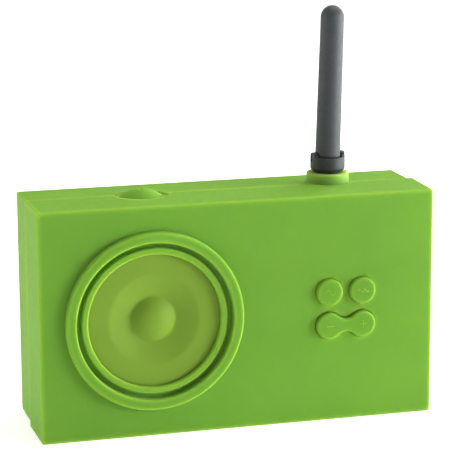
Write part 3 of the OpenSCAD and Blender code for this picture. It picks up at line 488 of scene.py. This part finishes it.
def paint(o, key):
    o.data.materials.clear()
    o.data.materials.append(MAT[key])
    return o


# --------------------------------------------------------- shared positions --
def mm_box(node):
    lo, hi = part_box(node)
    return [v / MM for v in lo], [v / MM for v in hi]


F_LO, F_HI = mm_box("front_skin")
R_LO, R_HI = mm_box("rear_skin")
HW, BODY_H = F_HI[0], F_HI[2]
PART_Y = F_HI[1]
FACE_Y = F_LO[1] + 2.4          # front face; the rim stands 2.4 proud of it
BACK_Y = R_HI[1]
STEP = HW - R_HI[0]
M_LO, M_HI = mm_box("speaker_membrane")
SPX, SPZ = (M_LO[0] + M_HI[0]) / 2, (M_LO[2] + M_HI[2]) / 2
A_LO, A_HI = mm_box("am_key")
B_LO, B_HI = mm_box("fm_key")
K_FLANGE = 5.8
KX1, KZ = (A_LO[0] + A_HI[0]) / 2, (A_LO[2] + A_HI[2]) / 2
KX2 = (B_LO[0] + B_HI[0]) / 2
V_LO, V_HI = mm_box("volume_rocker")
VZ = (V_LO[2] + V_HI[2]) / 2
P_LO, P_HI = mm_box("power_button")
PX, PY = (P_LO[0] + P_HI[0]) / 2, (P_LO[1] + P_HI[1]) / 2
U_LO, U_HI = mm_box("aerial_bushing")
AX, AY = (U_LO[0] + U_HI[0]) / 2, (U_LO[1] + U_HI[1]) / 2
BOSS_TOP = U_HI[2]
C_LO, C_HI = mm_box("aerial_collar")
EAR_TOP = C_HI[2]
HINGE_Z = EAR_TOP - 2.1
N_LO, N_HI = mm_box("aerial_rod")
D_LO, D_HI = mm_box("battery_door")
KEY_R, KEY_H = 4.75, 1.7
KEY_Y = FACE_Y - KEY_H
NECK = 4.8


# ------------------------------------------------------------- outer skins --
def dumbbell(grow, n_lobe=40, n_neck=14):
    dx, h = (KX2 - KX1) / 2, NECK / 2
    rn = (dx * dx + h * h - KEY_R * KEY_R) / (2 * (KEY_R - h))
    a = math.degrees(math.atan2(h + rn, dx))
    m = (KX1 + KX2) / 2
    pts = arc(KX2, VZ, KEY_R + grow, a - 180, 180 - a, n_lobe)
    pts += arc(m, VZ + h + rn, rn - grow, -a, a - 180, n_neck)[1:-1]
    pts += arc(KX1, VZ, KEY_R + grow, a, 360 - a, n_lobe)
    pts += arc(m, VZ - h - rn, rn - grow, 180 - a, a, n_neck)[1:-1]
    return pts


def skin_rings(hx, z0, z1, rc, y_a, y_b, r_a, r_b, hx_b=None, z1_b=None, extra=10, steps=8):
    """Rings of a rounded box from y_a to y_b, with edge radii r_a and r_b, the section growing to hx_b, z1_b."""
    hx_b = hx if hx_b is None else hx_b
    z1_b = z1 if z1_b is None else z1_b
    s = 1 if y_b > y_a else -1
    rings = []

    def ring(y, inset):
        t = (y - y_a) / (y_b - y_a)
        w = hx + (hx_b - hx) * t
        top = z1 + (z1_b - z1) * t
        return [(px, y, pz) for px, pz in rrect(w - inset, z0 + inset, top - inset, max(rc - inset, 0.12), 7, extra=extra)]
    for i in range(steps + 1):
        a = PI / 2 * i / steps
        rings.append(ring(y_a + s * r_a * (1 - math.cos(a)), r_a * (1 - math.sin(a))))
    for i in range(1, 6):
        rings.append(ring(y_a + s * (r_a + (abs(y_b - y_a) - r_a - r_b) * i / 6), 0.0))
    for i in range(steps + 1):
        a = PI / 2 * i / steps
        rings.append(ring(y_b - s * r_b * (1 - math.sin(a)), r_b * (1 - math.cos(a))))
    return rings


def lip_cutter_y(name, outline_at, r_lip, face, depth, n=6):
    """Cutter through the front plate with a soft lip. outline_at(grow) gives the outline in XZ."""
    rings = []
    for y, g in [(face - 1.0, r_lip)] + [(face + r_lip * (1 - math.cos(PI / 2 * i / n)), r_lip * (1 - math.sin(PI / 2 * i / n))) for i in range(n + 1)] + [(face + depth, 0.0)]:
        rings.append([(px, y, pz) for px, pz in outline_at(g)])
    return stack(name, rings)


def circle(cx, cz, r, n=96):
    return [(cx + r * math.cos(2 * PI * k / n), cz + r * math.sin(2 * PI * k / n)) for k in range(n)]


def power_cutter(top):
    lip = 0.3
    floor = BODY_H - 1.0
    return turn("cut_power", [(0, 70), (7.6, 70), (7.6, floor - 0.15)] + arc(7.75, floor - 0.15, 0.15, 180, 90, 3)
                + [(9.2, floor)] + arc(9.2, floor + 0.3, 0.3, -90, 0, 5)
                + ([(9.5, top - lip)] if top - lip > floor + 0.31 else [])
                + ([(9.5 + lip * (1 - math.cos(PI / 2 * i / 5)), top - lip + lip * math.sin(PI / 2 * i / 5)) for i in range(1, 6)] if top - lip > floor + 0.31 else [(9.62, top)])
                + [(9.5 + lip, top + 3), (0, top + 3)], "z", (PX, PY), 144)


def aerial_cutter(top):
    """Pocket of the boss in the top face."""
    p = [(0, 70), (6.6, 70), (6.6, BODY_H - STEP - 0.001), (8.0, BODY_H - STEP - 0.001)]
    if top > BODY_H - STEP + 0.2:
        p += [(8.0, top - 0.15)] + [(8.0 + 0.15 * (1 - math.cos(PI / 2 * i / 4)), top - 0.15 + 0.15 * math.sin(PI / 2 * i / 4)) for i in range(1, 5)]
    return turn("cut_aerial", p + [(p[-1][0], top + 3), (0, top + 3)], "z", (AX, AY), 144)


def build_front():
    o = stack("front_skin_shell", skin_rings(HW - 0.3, 0.0, BODY_H - 0.15, 0.6, FACE_Y, PART_Y, 0.5, 0.2, HW, BODY_H))
    cavity = stack("cut_cavity", [[(px, y, pz) for px, pz in rrect(68.0, 2.0, BODY_H - 2.1, 1.0, 5)] for y in (FACE_Y + 2.0, PART_Y + 2)])
    boolean(o, cavity, "DIFFERENCE")
    boolean(o, turn("cut_speaker", [(0, FACE_Y - 1), (29.0, FACE_Y - 1), (29.0, FACE_Y + 4), (0, FACE_Y + 4)], "y", (SPX, SPZ), 192), "DIFFERENCE")
    f = FACE_Y
    ring = [(24.8, f + 1.9), (24.8, f + 0.9), (23.2, f + 0.9), (23.2, f - 0.35)]
    ring += arc(23.2 + 0.65, f - 0.35, 0.65, 180, 270, 8) + arc(25.55 - 0.65, f - 0.35, 0.65, -90, 0, 8)
    ring += [(25.55, f + 0.9)] + arc(25.85, f + 0.9, 0.3, 180, 90, 4)
    ring += arc(27.05, f + 0.9, 0.3, 90, 0, 4) + [(27.35, f - 1.8)]
    ring += arc(27.35 + 0.6, f - 1.8, 0.6, 180, 270, 8) + [(29.2, f - 2.4)] + arc(31.1 - 0.8, f - 1.6, 0.8, -90, 0, 9)
    ring += [(31.1, f - 0.24)] + arc(31.35, f - 0.24, 0.25, 180, 90, 5) + [(31.35, f + 0.4), (29.7, f + 0.4), (29.7, f + 1.9)]
    boolean(o, turn("ring", ring, "y", (SPX, SPZ), 192), "UNION")
    boolean(o, [lip_cutter_y("cut_am", lambda g: circle(KX1, KZ, KEY_R + 0.1 + g), 0.14, f, 3),
                lip_cutter_y("cut_fm", lambda g: circle(KX2, KZ, KEY_R + 0.1 + g), 0.14, f, 3),
                lip_cutter_y("cut_vol", lambda g: dumbbell(0.22 + g), 0.14, f, 3),
                power_cutter(BODY_H), aerial_cutter(BODY_H)], "DIFFERENCE")
    weld(o)
    smooth(o)
    paint(o, "skin")
    return o


def build_rear():
    z0, z1, hx = STEP, BODY_H - STEP, HW - STEP
    o = stack("rear_skin_shell", skin_rings(hx, z0, z1, 0.6, BACK_Y, PART_Y, 0.55, 0.1))
    for x in (-52, 52):
        pad = stack("pad", [[(px, py, z) for px, py in [(x + a, 15.5 + b) for a, b in [(q[0], q[1]) for q in rrect(6.0 - g, -2.5 + g, 2.5 - g, max(1.2 - g, 0.2), 6)]]]
                            for z, g in ((1.2, 0.0), (0.35, 0.0), (0.15, 0.07), (0.04, 0.2), (0.0, 0.4))])
        boolean(o, pad, "UNION")
    cavity = stack("cut_cavity", [[(px, y, pz) for px, pz in rrect(68.0, 2.0, BODY_H - 2.1, 1.0, 5)] for y in (PART_Y - 2, BACK_Y - 2.0)])
    boolean(o, cavity, "DIFFERENCE")
    dx, dz = (D_LO[0] + D_HI[0]) / 2, (D_HI[0] - D_LO[0]) / 2 + 0.1
    rings = []
    for y, g in [(BACK_Y + 1, 0.3)] + [(BACK_Y - 0.3 * (1 - math.cos(PI / 2 * i / 5)), 0.3 * (1 - math.sin(PI / 2 * i / 5))) for i in range(6)] + [(BACK_Y - 4, 0.0)]:
        rings.append([(px, y, pz) for px, pz in rrect(dz + g, D_LO[2] - 0.1 - g, D_HI[2] + 0.1 + g, 3.1 + g, 10, x=dx)])
    boolean(o, [stack("cut_door", rings), power_cutter(z1), aerial_cutter(z1)], "DIFFERENCE")
    weld(o)
    smooth(o)
    paint(o, "rear")
    return o


front = build_front()
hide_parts("front_skin"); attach(front, "housing")
rear = build_rear()
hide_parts("rear_skin"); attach(rear, "housing")


# ---------------------------------------------------------------- membrane --
def build_membrane():
    f = FACE_Y

    def h(r, d):
        rd = 7.4
        dome = f + 2.6 - 2.9 * (1 - (r / rd) ** 2.4) if r < rd else f + 2.6 + 1.1 * (r - rd)
        cone = f + 2.95 - (r - 8.0) * (1.98 / 7.2)
        flat = f + 0.8
        # soft minimum of depth at the valley, soft corner at the top of the cone
        k = 0.35
        v = -k * math.log(math.exp(-dome / k) + math.exp(-cone / k))
        k2 = 0.10
        return k2 * math.log(math.exp(v / k2) + math.exp(flat / k2)) + d if r > 8.4 else v + d
    n = 90
    rr = [16.6 * i / n for i in range(n + 1)]
    front_pts = [(r, h(r, 0.0)) for r in rr]
    prof = front_pts + [(23.0, f + 0.8), (23.1, f + 0.86), (23.1, f + 0.95), (24.6, f + 0.95), (24.7, f + 1.05), (24.7, f + 1.85), (24.6, f + 1.95)]
    prof += [(r, min(h(r, 0.8), f + 3.6) if r < 15 else f + 1.95) for r in reversed(rr[::3])]
    o = turn("membrane", prof, "y", (SPX, SPZ), 192)
    smooth(o, 50)
    paint(o, "membrane")
    return o


membrane = build_membrane()
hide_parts("speaker_membrane"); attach(membrane, "housing")


# -------------------------------------------------------------------- keys --
def ribbon(name, path, half, y_top, y_in, n_arc=6):
    """Raised line mark with a rounded section along a path in XZ, standing on a key."""
    rings = []
    m = len(path)
    for i, (x, z) in enumerate(path):
        a, b = path[max(0, i - 1)], path[min(m - 1, i + 1)]
        t = math.atan2(b[1] - a[1], b[0] - a[0])
        nx, nz = -math.sin(t), math.cos(t)
        end = min(i, m - 1 - i)
        w = half * (0.55 if end == 0 else 0.85 if end == 1 else 1.0)
        ring = []
        for k in range(n_arc + 1):
            q = PI * k / n_arc
            ring.append((x + nx * w * math.cos(q), y_in - (y_in - y_top) * math.sin(q) ** 0.7 if 0 < k < n_arc else y_in, z + nz * w * math.cos(q)))
        ring += [(x - nx * w, y_in + 0.2, z - nz * w), (x + nx * w, y_in + 0.2, z + nz * w)]
        rings.append(ring)
    return stack(name, rings)


def wave_path(cx, cz, r, count, n=14):
    """count half circles of radius r, up and down in turn, in one line."""
    out = []
    for i in range(count):
        xc = cx + (i - (count - 1) / 2) * 2 * r
        up = 1 if i % 2 == 0 else -1
        for k in range(0 if i == 0 else 1, n + 1):
            q = PI * (1 - k / n)
            out.append((xc + r * math.cos(q), cz + up * r * math.sin(q)))
    return out


def build_key(name, x, z, marks, node_box):
    r = KEY_R
    y_back = node_box[1][1]
    prof = [(0, KEY_Y - 0.02)] + [(1.2 * i, KEY_Y - 0.02 * (1 - (i / 3) ** 2)) for i in (1, 2)]
    prof += arc(r - 0.9, KEY_Y + 0.9, 0.9, -90, 0, 12)
    prof += [(r, FACE_Y + 3.4), (r + 0.95, FACE_Y + 3.9), (r + 1.05, FACE_Y + 4.0), (r + 1.05, FACE_Y + 4.8), (r + 0.95, FACE_Y + 4.9),
             (3.0, FACE_Y + 4.9), (3.0, y_back - 0.2), (2.8, y_back), (0, y_back)]
    o = turn(name, prof, "y", (x, z), 128)
    for mk in marks:
        boolean(o, mk, "UNION")
    weld(o)
    smooth(o, 42)
    paint(o, "keys")
    return o


am = build_key("band_key_left", KX1, KZ, [ribbon("m", wave_path(KX1, KZ, 0.82, 2), 0.19, KEY_Y - 0.2, KEY_Y + 0.03)], (A_LO, A_HI))
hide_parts("am_key"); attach(am, "am_switch")
fm = build_key("band_key_right", KX2, KZ, [ribbon("m", wave_path(KX2, KZ, 0.5, 4, 10), 0.18, KEY_Y - 0.2, KEY_Y + 0.03)], (B_LO, B_HI))
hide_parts("fm_key"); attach(fm, "fm_switch")


def build_rocker():
    rings = [[(px, V_HI[1] - 2.6, pz) for px, pz in dumbbell(-0.35)], [(px, V_HI[1] - 2.65 - 0.3, pz) for px, pz in dumbbell(-0.02)]]
    y_foot = V_HI[1] - 2.95
    rings += [[(px, y_foot + (KEY_Y + 0.9 - y_foot) * t, pz) for px, pz in dumbbell(0.0)] for t in (0.0, 0.5, 1.0)][1:]
    for i in range(1, 13):
        a = PI / 2 * i / 12
        rings.append([(px, KEY_Y + 0.9 - 0.9 * math.sin(a), pz) for px, pz in dumbbell(-0.9 * (1 - math.cos(a)))])
    o = stack("volume_key", rings)
    for x in (KX1, KX2):
        post = turn("post", [(0, V_HI[1] - 4), (2.6, V_HI[1] - 4), (2.6, V_HI[1] - 0.2), (2.4, V_HI[1]), (0, V_HI[1])], "y", (x, VZ), 64)
        boolean(o, post, "UNION")
    pin = turn("bore", [(0, VZ - 5), (0.74, VZ - 5), (0.74, VZ + 5), (0, VZ + 5)], "z", ((KX1 + KX2) / 2, FACE_Y + 2.8), 48)
    boolean(o, pin, "DIFFERENCE")
    bars = [(KX1 - 1.25, VZ, KX1 + 1.25, VZ), (KX2 - 1.25, VZ, KX2 + 1.25, VZ), (KX2, VZ - 1.25, KX2, VZ + 1.25)]
    for i, (xa, za, xb, zb) in enumerate(bars):
        path = [(xa + (xb - xa) * t, za + (zb - za) * t) for t in [0.0, 0.04, 0.1] + [0.2 + 0.06 * k for k in range(11)] + [0.9, 0.96, 1.0]]
        boolean(o, ribbon("bar", path, 0.24 + 0.004 * i, KEY_Y - 0.2 - 0.006 * i, KEY_Y + 0.03 + 0.004 * i), "UNION")
    weld(o)
    smooth(o, 42)
    paint(o, "keys")
    return o


rocker = build_rocker()
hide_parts("volume_rocker"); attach(rocker, "rocker")


# ------------------------------------------------------------ power button --
def build_power():
    r, rise = 7.5, 2.6
    top = BODY_H + 1.8
    R = (r * r + rise * rise) / (2 * rise)
    zc = top - R
    iz1 = BODY_H - 3.95
    prof = []
    # dimple at the apex, then the dome down to a small rounded rim
    for i in range(9):
        q = 0.8 * i / 8
        prof.append((q, top + 0.33 - math.sqrt(0.81 - q * q)))
    for i in range(1, 41):
        q = 0.86 + (r - 0.22 - 0.86) * i / 40
        prof.append((q, zc + math.sqrt(R * R - q * q) - 0.004))
    zr = prof[-1][1]
    prof += [(r - 0.08, zr - 0.12), (r - 0.01, zr - 0.32), (r, zr - 0.6), (r, iz1 + 0.15), (r + 0.9, iz1 - 0.05), (r + 1.0, iz1 - 0.15), (r + 1.0, iz1 - 1.4), (r + 0.9, iz1 - 1.5),
             (3.0, iz1 - 1.5), (3.0, P_LO[2] + 0.2), (2.8, P_LO[2]), (0, P_LO[2])]
    o = turn("power_key", prof, "z", (PX, PY), 144)
    smooth(o, 42)
    paint(o, "power")
    return o


power = build_power()
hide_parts("power_button"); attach(power, "power_switch")


# ------------------------------------------------------------------ aerial --
def build_bushing():
    t = BOSS_TOP
    z0 = BODY_H - STEP + 0.05
    hub, shaft = 4.55, 3.05
    hz = 81.0
    r = (U_HI[0] - U_LO[0]) / 2 if U_HI[0] - U_LO[0] < 15.5 else 7.55
    roof = BODY_H - 4.0
    prof = [(8.0, U_LO[2]), (8.0, roof), (6.5, roof), (6.5, z0), (r, z0), (r, z0 + 1.5), (r - 0.04, t - 0.5)]
    prof += arc(r - 0.04 - 0.45, t - 0.5, 0.45, 0, 60, 7) + arc(r - 0.6, t - 0.45, 0.45, 62, 90, 4)
    prof += arc(5.0, t - 0.35, 0.35, 90, 180, 5)
    prof += [(4.65, hz + 2.35), (6.1, hz + 2.3), (6.1, hz + 0.7), (4.55, hz + 0.7), (hub, hz - 0.1), (shaft, hz - 0.1), (shaft, U_LO[2])]
    o = turn("aerial_boss", prof, "z", (AX, AY), 144)
    smooth(o, 42)
    paint(o, "boss")
    return o


boss = build_bushing()
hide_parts("aerial_bushing"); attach(boss, "housing")

TURN = Matrix.Translation(Vector((AX, AY, 0)) * MM) @ Matrix.Rotation(math.radians(7), 4, "Z") @ Matrix.Translation(-Vector((AX, AY, 0)) * MM)


def build_collar():
    z0 = BOSS_TOP + 0.3
    R = 6.15
    prof = [(0, z0), (R - 1.0, z0)] + [(R - 0.85, z0 + 0.05), (R - 0.3, z0 + 0.62), (R - 0.12, z0 + 0.85), (R - 0.03, z0 + 1.1), (R, z0 + 1.4)]
    prof += [(R, EAR_TOP - 0.5)] + arc(R - 0.5, EAR_TOP - 0.5, 0.5, 0, 90, 6) + [(0, EAR_TOP)]
    o = turn("collar", prof, "z", (AX, AY), 128)
    spigot = turn("spigot", [(0, 81.0), (4.3, 81.0), (4.5, 81.2), (4.5, z0 + 0.8), (0, z0 + 0.8)], "z", (AX, AY), 96)
    boolean(o, spigot, "UNION")
    # the slot for the knuckle, a stadium stretched in depth
    slot_pts = []
    for cy, a0 in ((AY + 0.8, 0), (AY - 0.8, 180)):
        slot_pts += arc(AX, cy, 4.7, a0, a0 + 180, 40)
    slot = stack("slot", [[(px, py, z) for px, py in slot_pts] for z in (HINGE_Z - 3.35, EAR_TOP + 1)])
    boolean(o, slot, "DIFFERENCE")
    notch = box("notch", AX - 8, AX + 8, AY - 8, AY + 8, HINGE_Z + 0.4, EAR_TOP + 1)
    boolean(notch, turn_x("lug", 2.09, AX - 9, AX + 9, 72), "DIFFERENCE")
    boolean(o, notch, "DIFFERENCE")
    boolean(o, turn_x("hole", 1.24, AX - 8, AX + 8), "DIFFERENCE")
    boolean(o, turn("bore", [(0, 80), (3.02, 80), (3.02, z0 - 0.6), (0, z0 - 0.6)], "z", (AX, AY), 64), "DIFFERENCE")
    weld(o)
    bevel(o, 0.16, 40, 3)
    weld(o)
    o.data.transform(TURN)
    smooth(o, 50)
    paint(o, "collar")
    return o


def turn_x(name, r, x0, x1, n=48, lip=0.0):
    prof = [(0, x0), (r - lip, x0), (r, x0 + lip), (r, x1 - lip), (r - lip, x1), (0, x1)] if lip else [(0, x0), (r, x0), (r, x1), (0, x1)]
    o = turn(name, prof, "z", (0, 0), n)
    o.data.transform(Matrix(((0, 0, 1, 0), (0, 1, 0, AY * MM), (-1, 0, 0, HINGE_Z * MM), (0, 0, 0, 1))))
    return o


collar = build_collar()
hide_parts("aerial_collar"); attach(collar, "swivel")

pin = turn_x("aerial_hinge_pin", 1.22, AX - 5.84, AX + 5.84, 64, 0.15)
pin.data.transform(TURN)
smooth(pin)
paint(pin, "black_steel")
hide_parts("hinge_pin"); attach(pin, "swivel")

LEAN = Matrix.Translation(Vector((AX, AY, HINGE_Z)) * MM) @ Matrix.Rotation(math.radians(1.8), 4, "Y")


def build_rod():
    L = 143.0 - HINGE_Z
    r0, r1 = 4.45, 4.1
    prof = [(2.55, 0.38), (r0 - 0.18, 0.38), (r0 - 0.05, 0.45), (r0, 0.6)]
    n = 60
    for i in range(1, n + 1):
        t = i / n
        # slow, barely visible swelling of a dip-moulded sleeve
        prof.append((r0 + (r1 - r0) * t - 0.018 * (1 - math.cos(2 * PI * 3 * t)) * 0.5, 0.6 + (L - r1 - 0.6) * t))
    prof += arc(0, L - r1, r1, 0, 90, 22)[1:]
    prof[-1] = (0, prof[-1][1])
    prof += [(0, 38.0), (0.82, 38.0), (0.82, 10.1), (2.55, 10.1)]
    o = turn("aerial_sleeve", prof, "z", (0, 0), 144)
    o.data.transform(LEAN)
    boolean(o, turn_x("notch", 1.28, AX - 8, AX + 8), "DIFFERENCE")
    weld(o)
    o.data.transform(TURN)
    smooth(o, 42)
    paint(o, "aerial")
    return o


rod = build_rod()
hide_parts("aerial_rod"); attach(rod, "aerial")


def build_knuckle():
    o = turn("aerial_joint", [(0, HINGE_Z - 3.2), (4.45, HINGE_Z - 3.2), (4.45, HINGE_Z + 0.05), (4.3, HINGE_Z + 0.2), (0, HINGE_Z + 0.2)], "z", (AX, AY), 96)
    drum = turn_x("drum", 3.2, AX - 6, AX + 6, 96)
    boolean(o, drum, "INTERSECT")
    stem = turn("stem", [(0, 0), (2.5, 0), (2.5, 9.8), (2.3, 10.0), (0, 10.0)], "z", (0, 0), 64)
    stem.data.transform(LEAN)
    boolean(o, stem, "UNION")
    boolean(o, turn_x("bore", 1.26, AX - 8, AX + 8), "DIFFERENCE")
    core = turn("core", [(0, 4), (0.82, 4), (0.82, 12), (0, 12)], "z", (0, 0), 32)
    core.data.transform(LEAN)
    boolean(o, core, "DIFFERENCE")
    weld(o)
    bevel(o, 0.12, 40, 3)
    weld(o)
    o.data.transform(TURN)
    smooth(o, 50)
    paint(o, "collar")
    return o


knuckle = build_knuckle()
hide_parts("aerial_knuckle"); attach(knuckle, "aerial")


# ------------------------------------------------------------ battery door --
SCREWS = [(9.5, 8.2), (61.5, 8.2), (9.5, 62.8), (61.5, 62.8)]


def build_door():
    dx, hw = (D_LO[0] + D_HI[0]) / 2, (D_HI[0] - D_LO[0]) / 2
    z0, z1 = D_LO[2], D_HI[2]
    yb = D_HI[1]
    y_in = 18.65
    rings = []
    for y, g in [(y_in, 0.15), (y_in + 0.15, 0.0), (yb - 0.45, 0.0)] + [(yb - 0.45 * (1 - math.sin(PI / 2 * i / 7)), 0.45 * (1 - math.cos(PI / 2 * i / 7))) for i in range(1, 8)]:
        rings.append([(px, y, pz) for px, pz in rrect(hw - g, z0 + g, z1 - g, max(3.0 - g, 0.3), 12, x=dx, extra=6)])
    o = stack("battery_cover", rings)
    plug = stack("plug", [[(px, y, pz) for px, pz in rrect(26.9, 12.6, 58.4, 1.5, 6, x=35.5)] for y in (D_LO[1], y_in + 0.4)])
    hollow = stack("hollow", [[(px, y, pz) for px, pz in rrect(25.6, 13.9, 57.1, 1.0, 6, x=35.5)] for y in (D_LO[1] - 1, y_in - 0.001)])
    boolean(plug, hollow, "DIFFERENCE")
    boolean(o, plug, "UNION")
    g_out = stack("groove", [[(px, y, pz) for px, pz in rrect(28.9, 10.6, 60.4, 2.5, 8, x=35.5)] for y in (y_in - 0.5, y_in + 0.8)])
    g_in = stack("groove_in", [[(px, y, pz) for px, pz in rrect(27.75, 11.75, 59.25, 1.5, 8, x=35.5)] for y in (y_in - 1, y_in + 2)])
    boolean(g_out, g_in, "DIFFERENCE")
    boolean(o, g_out, "DIFFERENCE")
    for x, z in SCREWS:
        c = turn("hole", [(0, y_in - 1), (1.4, y_in - 1), (1.4, yb - 1.1), (2.45, yb - 1.1)] + arc(2.45, yb - 0.95, 0.15, -90, 0, 3)
                 + [(2.6, yb - 0.25)] + [(2.6 + 0.25 * (1 - math.cos(PI / 2 * i / 5)), yb - 0.25 + 0.25 * math.sin(PI / 2 * i / 5)) for i in range(1, 6)] + [(2.85, yb + 1), (0, yb + 1)], "y", (x, z), 72)
        boolean(o, c, "DIFFERENCE")
    # shallow finger scoop at the lower edge
    scoop = turn("scoop", [(0, yb - 0.55), (3, yb - 0.5), (6, yb - 0.32), (8, yb - 0.1), (9, yb + 0.06), (9, yb + 2), (0, yb + 2)], "y", (0, 0), 96)
    scoop.data.transform(Matrix.Translation(Vector((35.5, 0, z0 + 9.5)) * MM) @ Matrix.Diagonal((1.3, 1, 0.5, 1)))
    boolean(o, scoop, "DIFFERENCE")
    weld(o)
    smooth(o, 42)
    paint(o, "rear")
    return o


door = build_door()
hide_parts("battery_door"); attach(door, "door")


def build_screws():
    yb = D_HI[1]
    seat = yb - 1.08
    parts = []
    for x, z in SCREWS:
        s = turn("screw", [(0, 9.5), (0.7, 9.6), (1.25, 10.6), (1.25, seat)] + [(2.3, seat), (2.4, seat + 0.1), (2.4, seat + 0.45)]
                 + arc(2.05, seat + 0.55, 0.35, 0, 90, 5) + [(1.5, seat + 0.94), (0, seat + 0.95)], "y", (x, z), 64)
        a = math.radians({9.5: 20, 61.5: 55}[x] + z)
        for k in (0, 1):
            w = stack("slot", [[(x + (px * math.cos(a + k * PI / 2) - pz * math.sin(a + k * PI / 2)) * q, y, z + (px * math.sin(a + k * PI / 2) + pz * math.cos(a + k * PI / 2)) * q)
                                for px, pz in rrect(1.45, -0.3, 0.3, 0.12, 3)] for y, q in ((seat + 0.35, 0.72), (seat + 2, 1.15))])
            boolean(s, w, "DIFFERENCE")
        weld(s)
        parts.append(s)
    o = parts[0]
    bm = bmesh.new()
    for s in parts:
        bm.from_mesh(s.data)
    me = bpy.data.meshes.new("cover_screws")
    bm.to_mesh(me)
    bm.free()
    for s in parts:
        bpy.data.objects.remove(s)
    o = bpy.data.objects.new("cover_screws", me)
    bpy.context.scene.collection.objects.link(o)
    bevel(o, 0.05, 40, 2)
    smooth(o, 40)
    paint(o, "screw")
    return o


screws = build_screws()
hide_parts("door_screws"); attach(screws, "door")

# -------------------------------------------------- finishes on inner nodes --
FINISH = {
    "black_rubber": ["am_contact_pill", "fm_contact_pill", "rocker_pills", "power_pill", "shaft_o_ring", "door_gasket", "case_seal", "speaker_surround"],
    "black_plastic": ["front_case", "rear_case"],
    "steel": ["rocker_pin", "aerial_shaft", "thrust_washer", "retaining_clip", "aerial_core", "speaker_top_plate", "speaker_yoke", "battery_springs", "battery_plates"],
    "screw": ["case_screws", "speaker_screws", "board_screws"],
    "white_nylon": ["shaft_pinion", "capacitor_gear", "ferrite_clips", "tuning_capacitor"],
    "magnet": ["speaker_magnet"],
    "basket": ["speaker_basket"],
    "cone_paper": ["speaker_cone", "dust_cap"],
    "wire_y": ["voice_coil"],
    "wire_x": ["ferrite_coil"],
    "spider_cloth": ["speaker_spider"],
    "circuit_board": ["main_board", "power_board", "tuner_board"],
    "copper": ["key_contacts", "power_contact", "shaft_wiper"],
    "chip_black": ["tuner_chip", "amplifier_chip"],
    "sleeve": ["electrolytics"],
    "can_metal": ["if_cans"],
    "ferrite": ["ferrite_rod"],
    "cell_can": ["battery_cells"],
}
LEAD_MATS = (rubber("lead_red", (0.30, 0.016, 0.012), rough=(0.4, 0.55), grain=0.2, sheen=0.1), rubber("lead_black", (0.015, 0.015, 0.015), rough=(0.4, 0.55), grain=0.2, sheen=0.1))
for key, names in FINISH.items():
    for n in names:
        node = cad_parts[n]
        for s in node.material_slots:
            s.link = "OBJECT"
            s.material = MAT[key]
        if not node.material_slots:
            node.data.materials.append(MAT[key])
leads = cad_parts["speaker_leads"]
for i, s in enumerate(leads.material_slots):
    s.link = "OBJECT"
    s.material = LEAD_MATS[i % 2]

# -------------------------------------------------------- floor and lights --
def stage_floor():
    n = 96
    verts = [(0, 0, 0)] + [(6 * math.cos(2 * PI * k / n), 6 * math.sin(2 * PI * k / n), 0) for k in range(n)]
    me = bpy.data.meshes.new("floor")
    me.from_pydata([(x, y, z - 0.00002) for x, y, z in verts], [], [[0, 1 + k, 1 + (k + 1) % n] for k in range(n)])
    o = bpy.data.objects.new("floor", me)
    bpy.context.scene.collection.objects.link(o)
    m = bpy.data.materials.new("pale_floor")
    m.use_nodes = True
    nt = m.node_tree
    b = nt.nodes["Principled BSDF"]
    tc = nt.nodes.new("ShaderNodeTexCoord")
    col = ramp(nt, noise(nt, tc.outputs["Object"], 5, 3), [(0.3, (0.90, 0.895, 0.89)), (0.7, (0.92, 0.915, 0.91))])
    nt.links.new(col, b.inputs["Base Color"])
    b.inputs["Roughness"].default_value = 0.85
    b.inputs["Specular IOR Level"].default_value = 0.1
    b.inputs["Emission Color"].default_value = (1, 0.995, 0.985, 1)
    b.inputs["Emission Strength"].default_value = 0.6
    me.materials.append(m)
    return o


stage_floor()


def area(name, loc, target, size, watts, colour=(1, 1, 1)):
    d = bpy.data.lights.new(name, "AREA")
    d.shape, d.size, d.size_y = "RECTANGLE", size[0], size[1]
    d.energy, d.color = watts, colour
    o = bpy.data.objects.new(name, d)
    o.location = loc
    o.rotation_mode = "QUATERNION"
    o.rotation_quaternion = (Vector(target) - Vector(loc)).to_track_quat("-Z", "Y")
    bpy.context.scene.collection.objects.link(o)
    return o


area("softbox_right", (0.87, -0.39, 0.16), (0.0, 0.0, 0.05), (0.6, 0.45), 15.5)
area("softbox_left", (-0.95, 0.15, 0.30), (0.0, 0.0, 0.05), (0.6, 0.6), 3.5, (1.0, 0.985, 0.90))
area("softbox_top", (0.25, 0.08, 0.95), (0.0, 0.0, 0.05), (0.8, 0.7), 7.0, (1.0, 0.98, 0.84))
area("softbox_rim", (0.78, 0.62, 0.42), (0.02, 0.0, 0.08), (0.6, 0.5), 5.5)
area("softbox_side", (0.96, 0.16, 0.10), (0.0, 0.0, 0.05), (0.4, 0.14), 2.5)

world = bpy.data.worlds.new("studio")
bpy.context.scene.world = world
world.use_nodes = True
wn = world.node_tree
bg = wn.nodes["Background"]
bg.inputs["Color"].default_value = (1.0, 0.998, 0.99, 1)
bg.inputs["Strength"].default_value = 0.32
bg2 = wn.nodes.new("ShaderNodeBackground")
bg2.inputs["Color"].default_value = (1.0, 0.998, 0.99, 1)
bg2.inputs["Strength"].default_value = 1.05
lp = wn.nodes.new("ShaderNodeLightPath")
mx = wn.nodes.new("ShaderNodeMixShader")
wn.links.new(lp.outputs["Is Camera Ray"], mx.inputs[0])
wn.links.new(bg.outputs[0], mx.inputs[1])
wn.links.new(bg2.outputs[0], mx.inputs[2])
wn.links.new(mx.outputs[0], wn.nodes["World Output"].inputs["Surface"])

bpy.context.scene.view_settings.view_transform = "Standard"

bpy.context.view_layer.update()
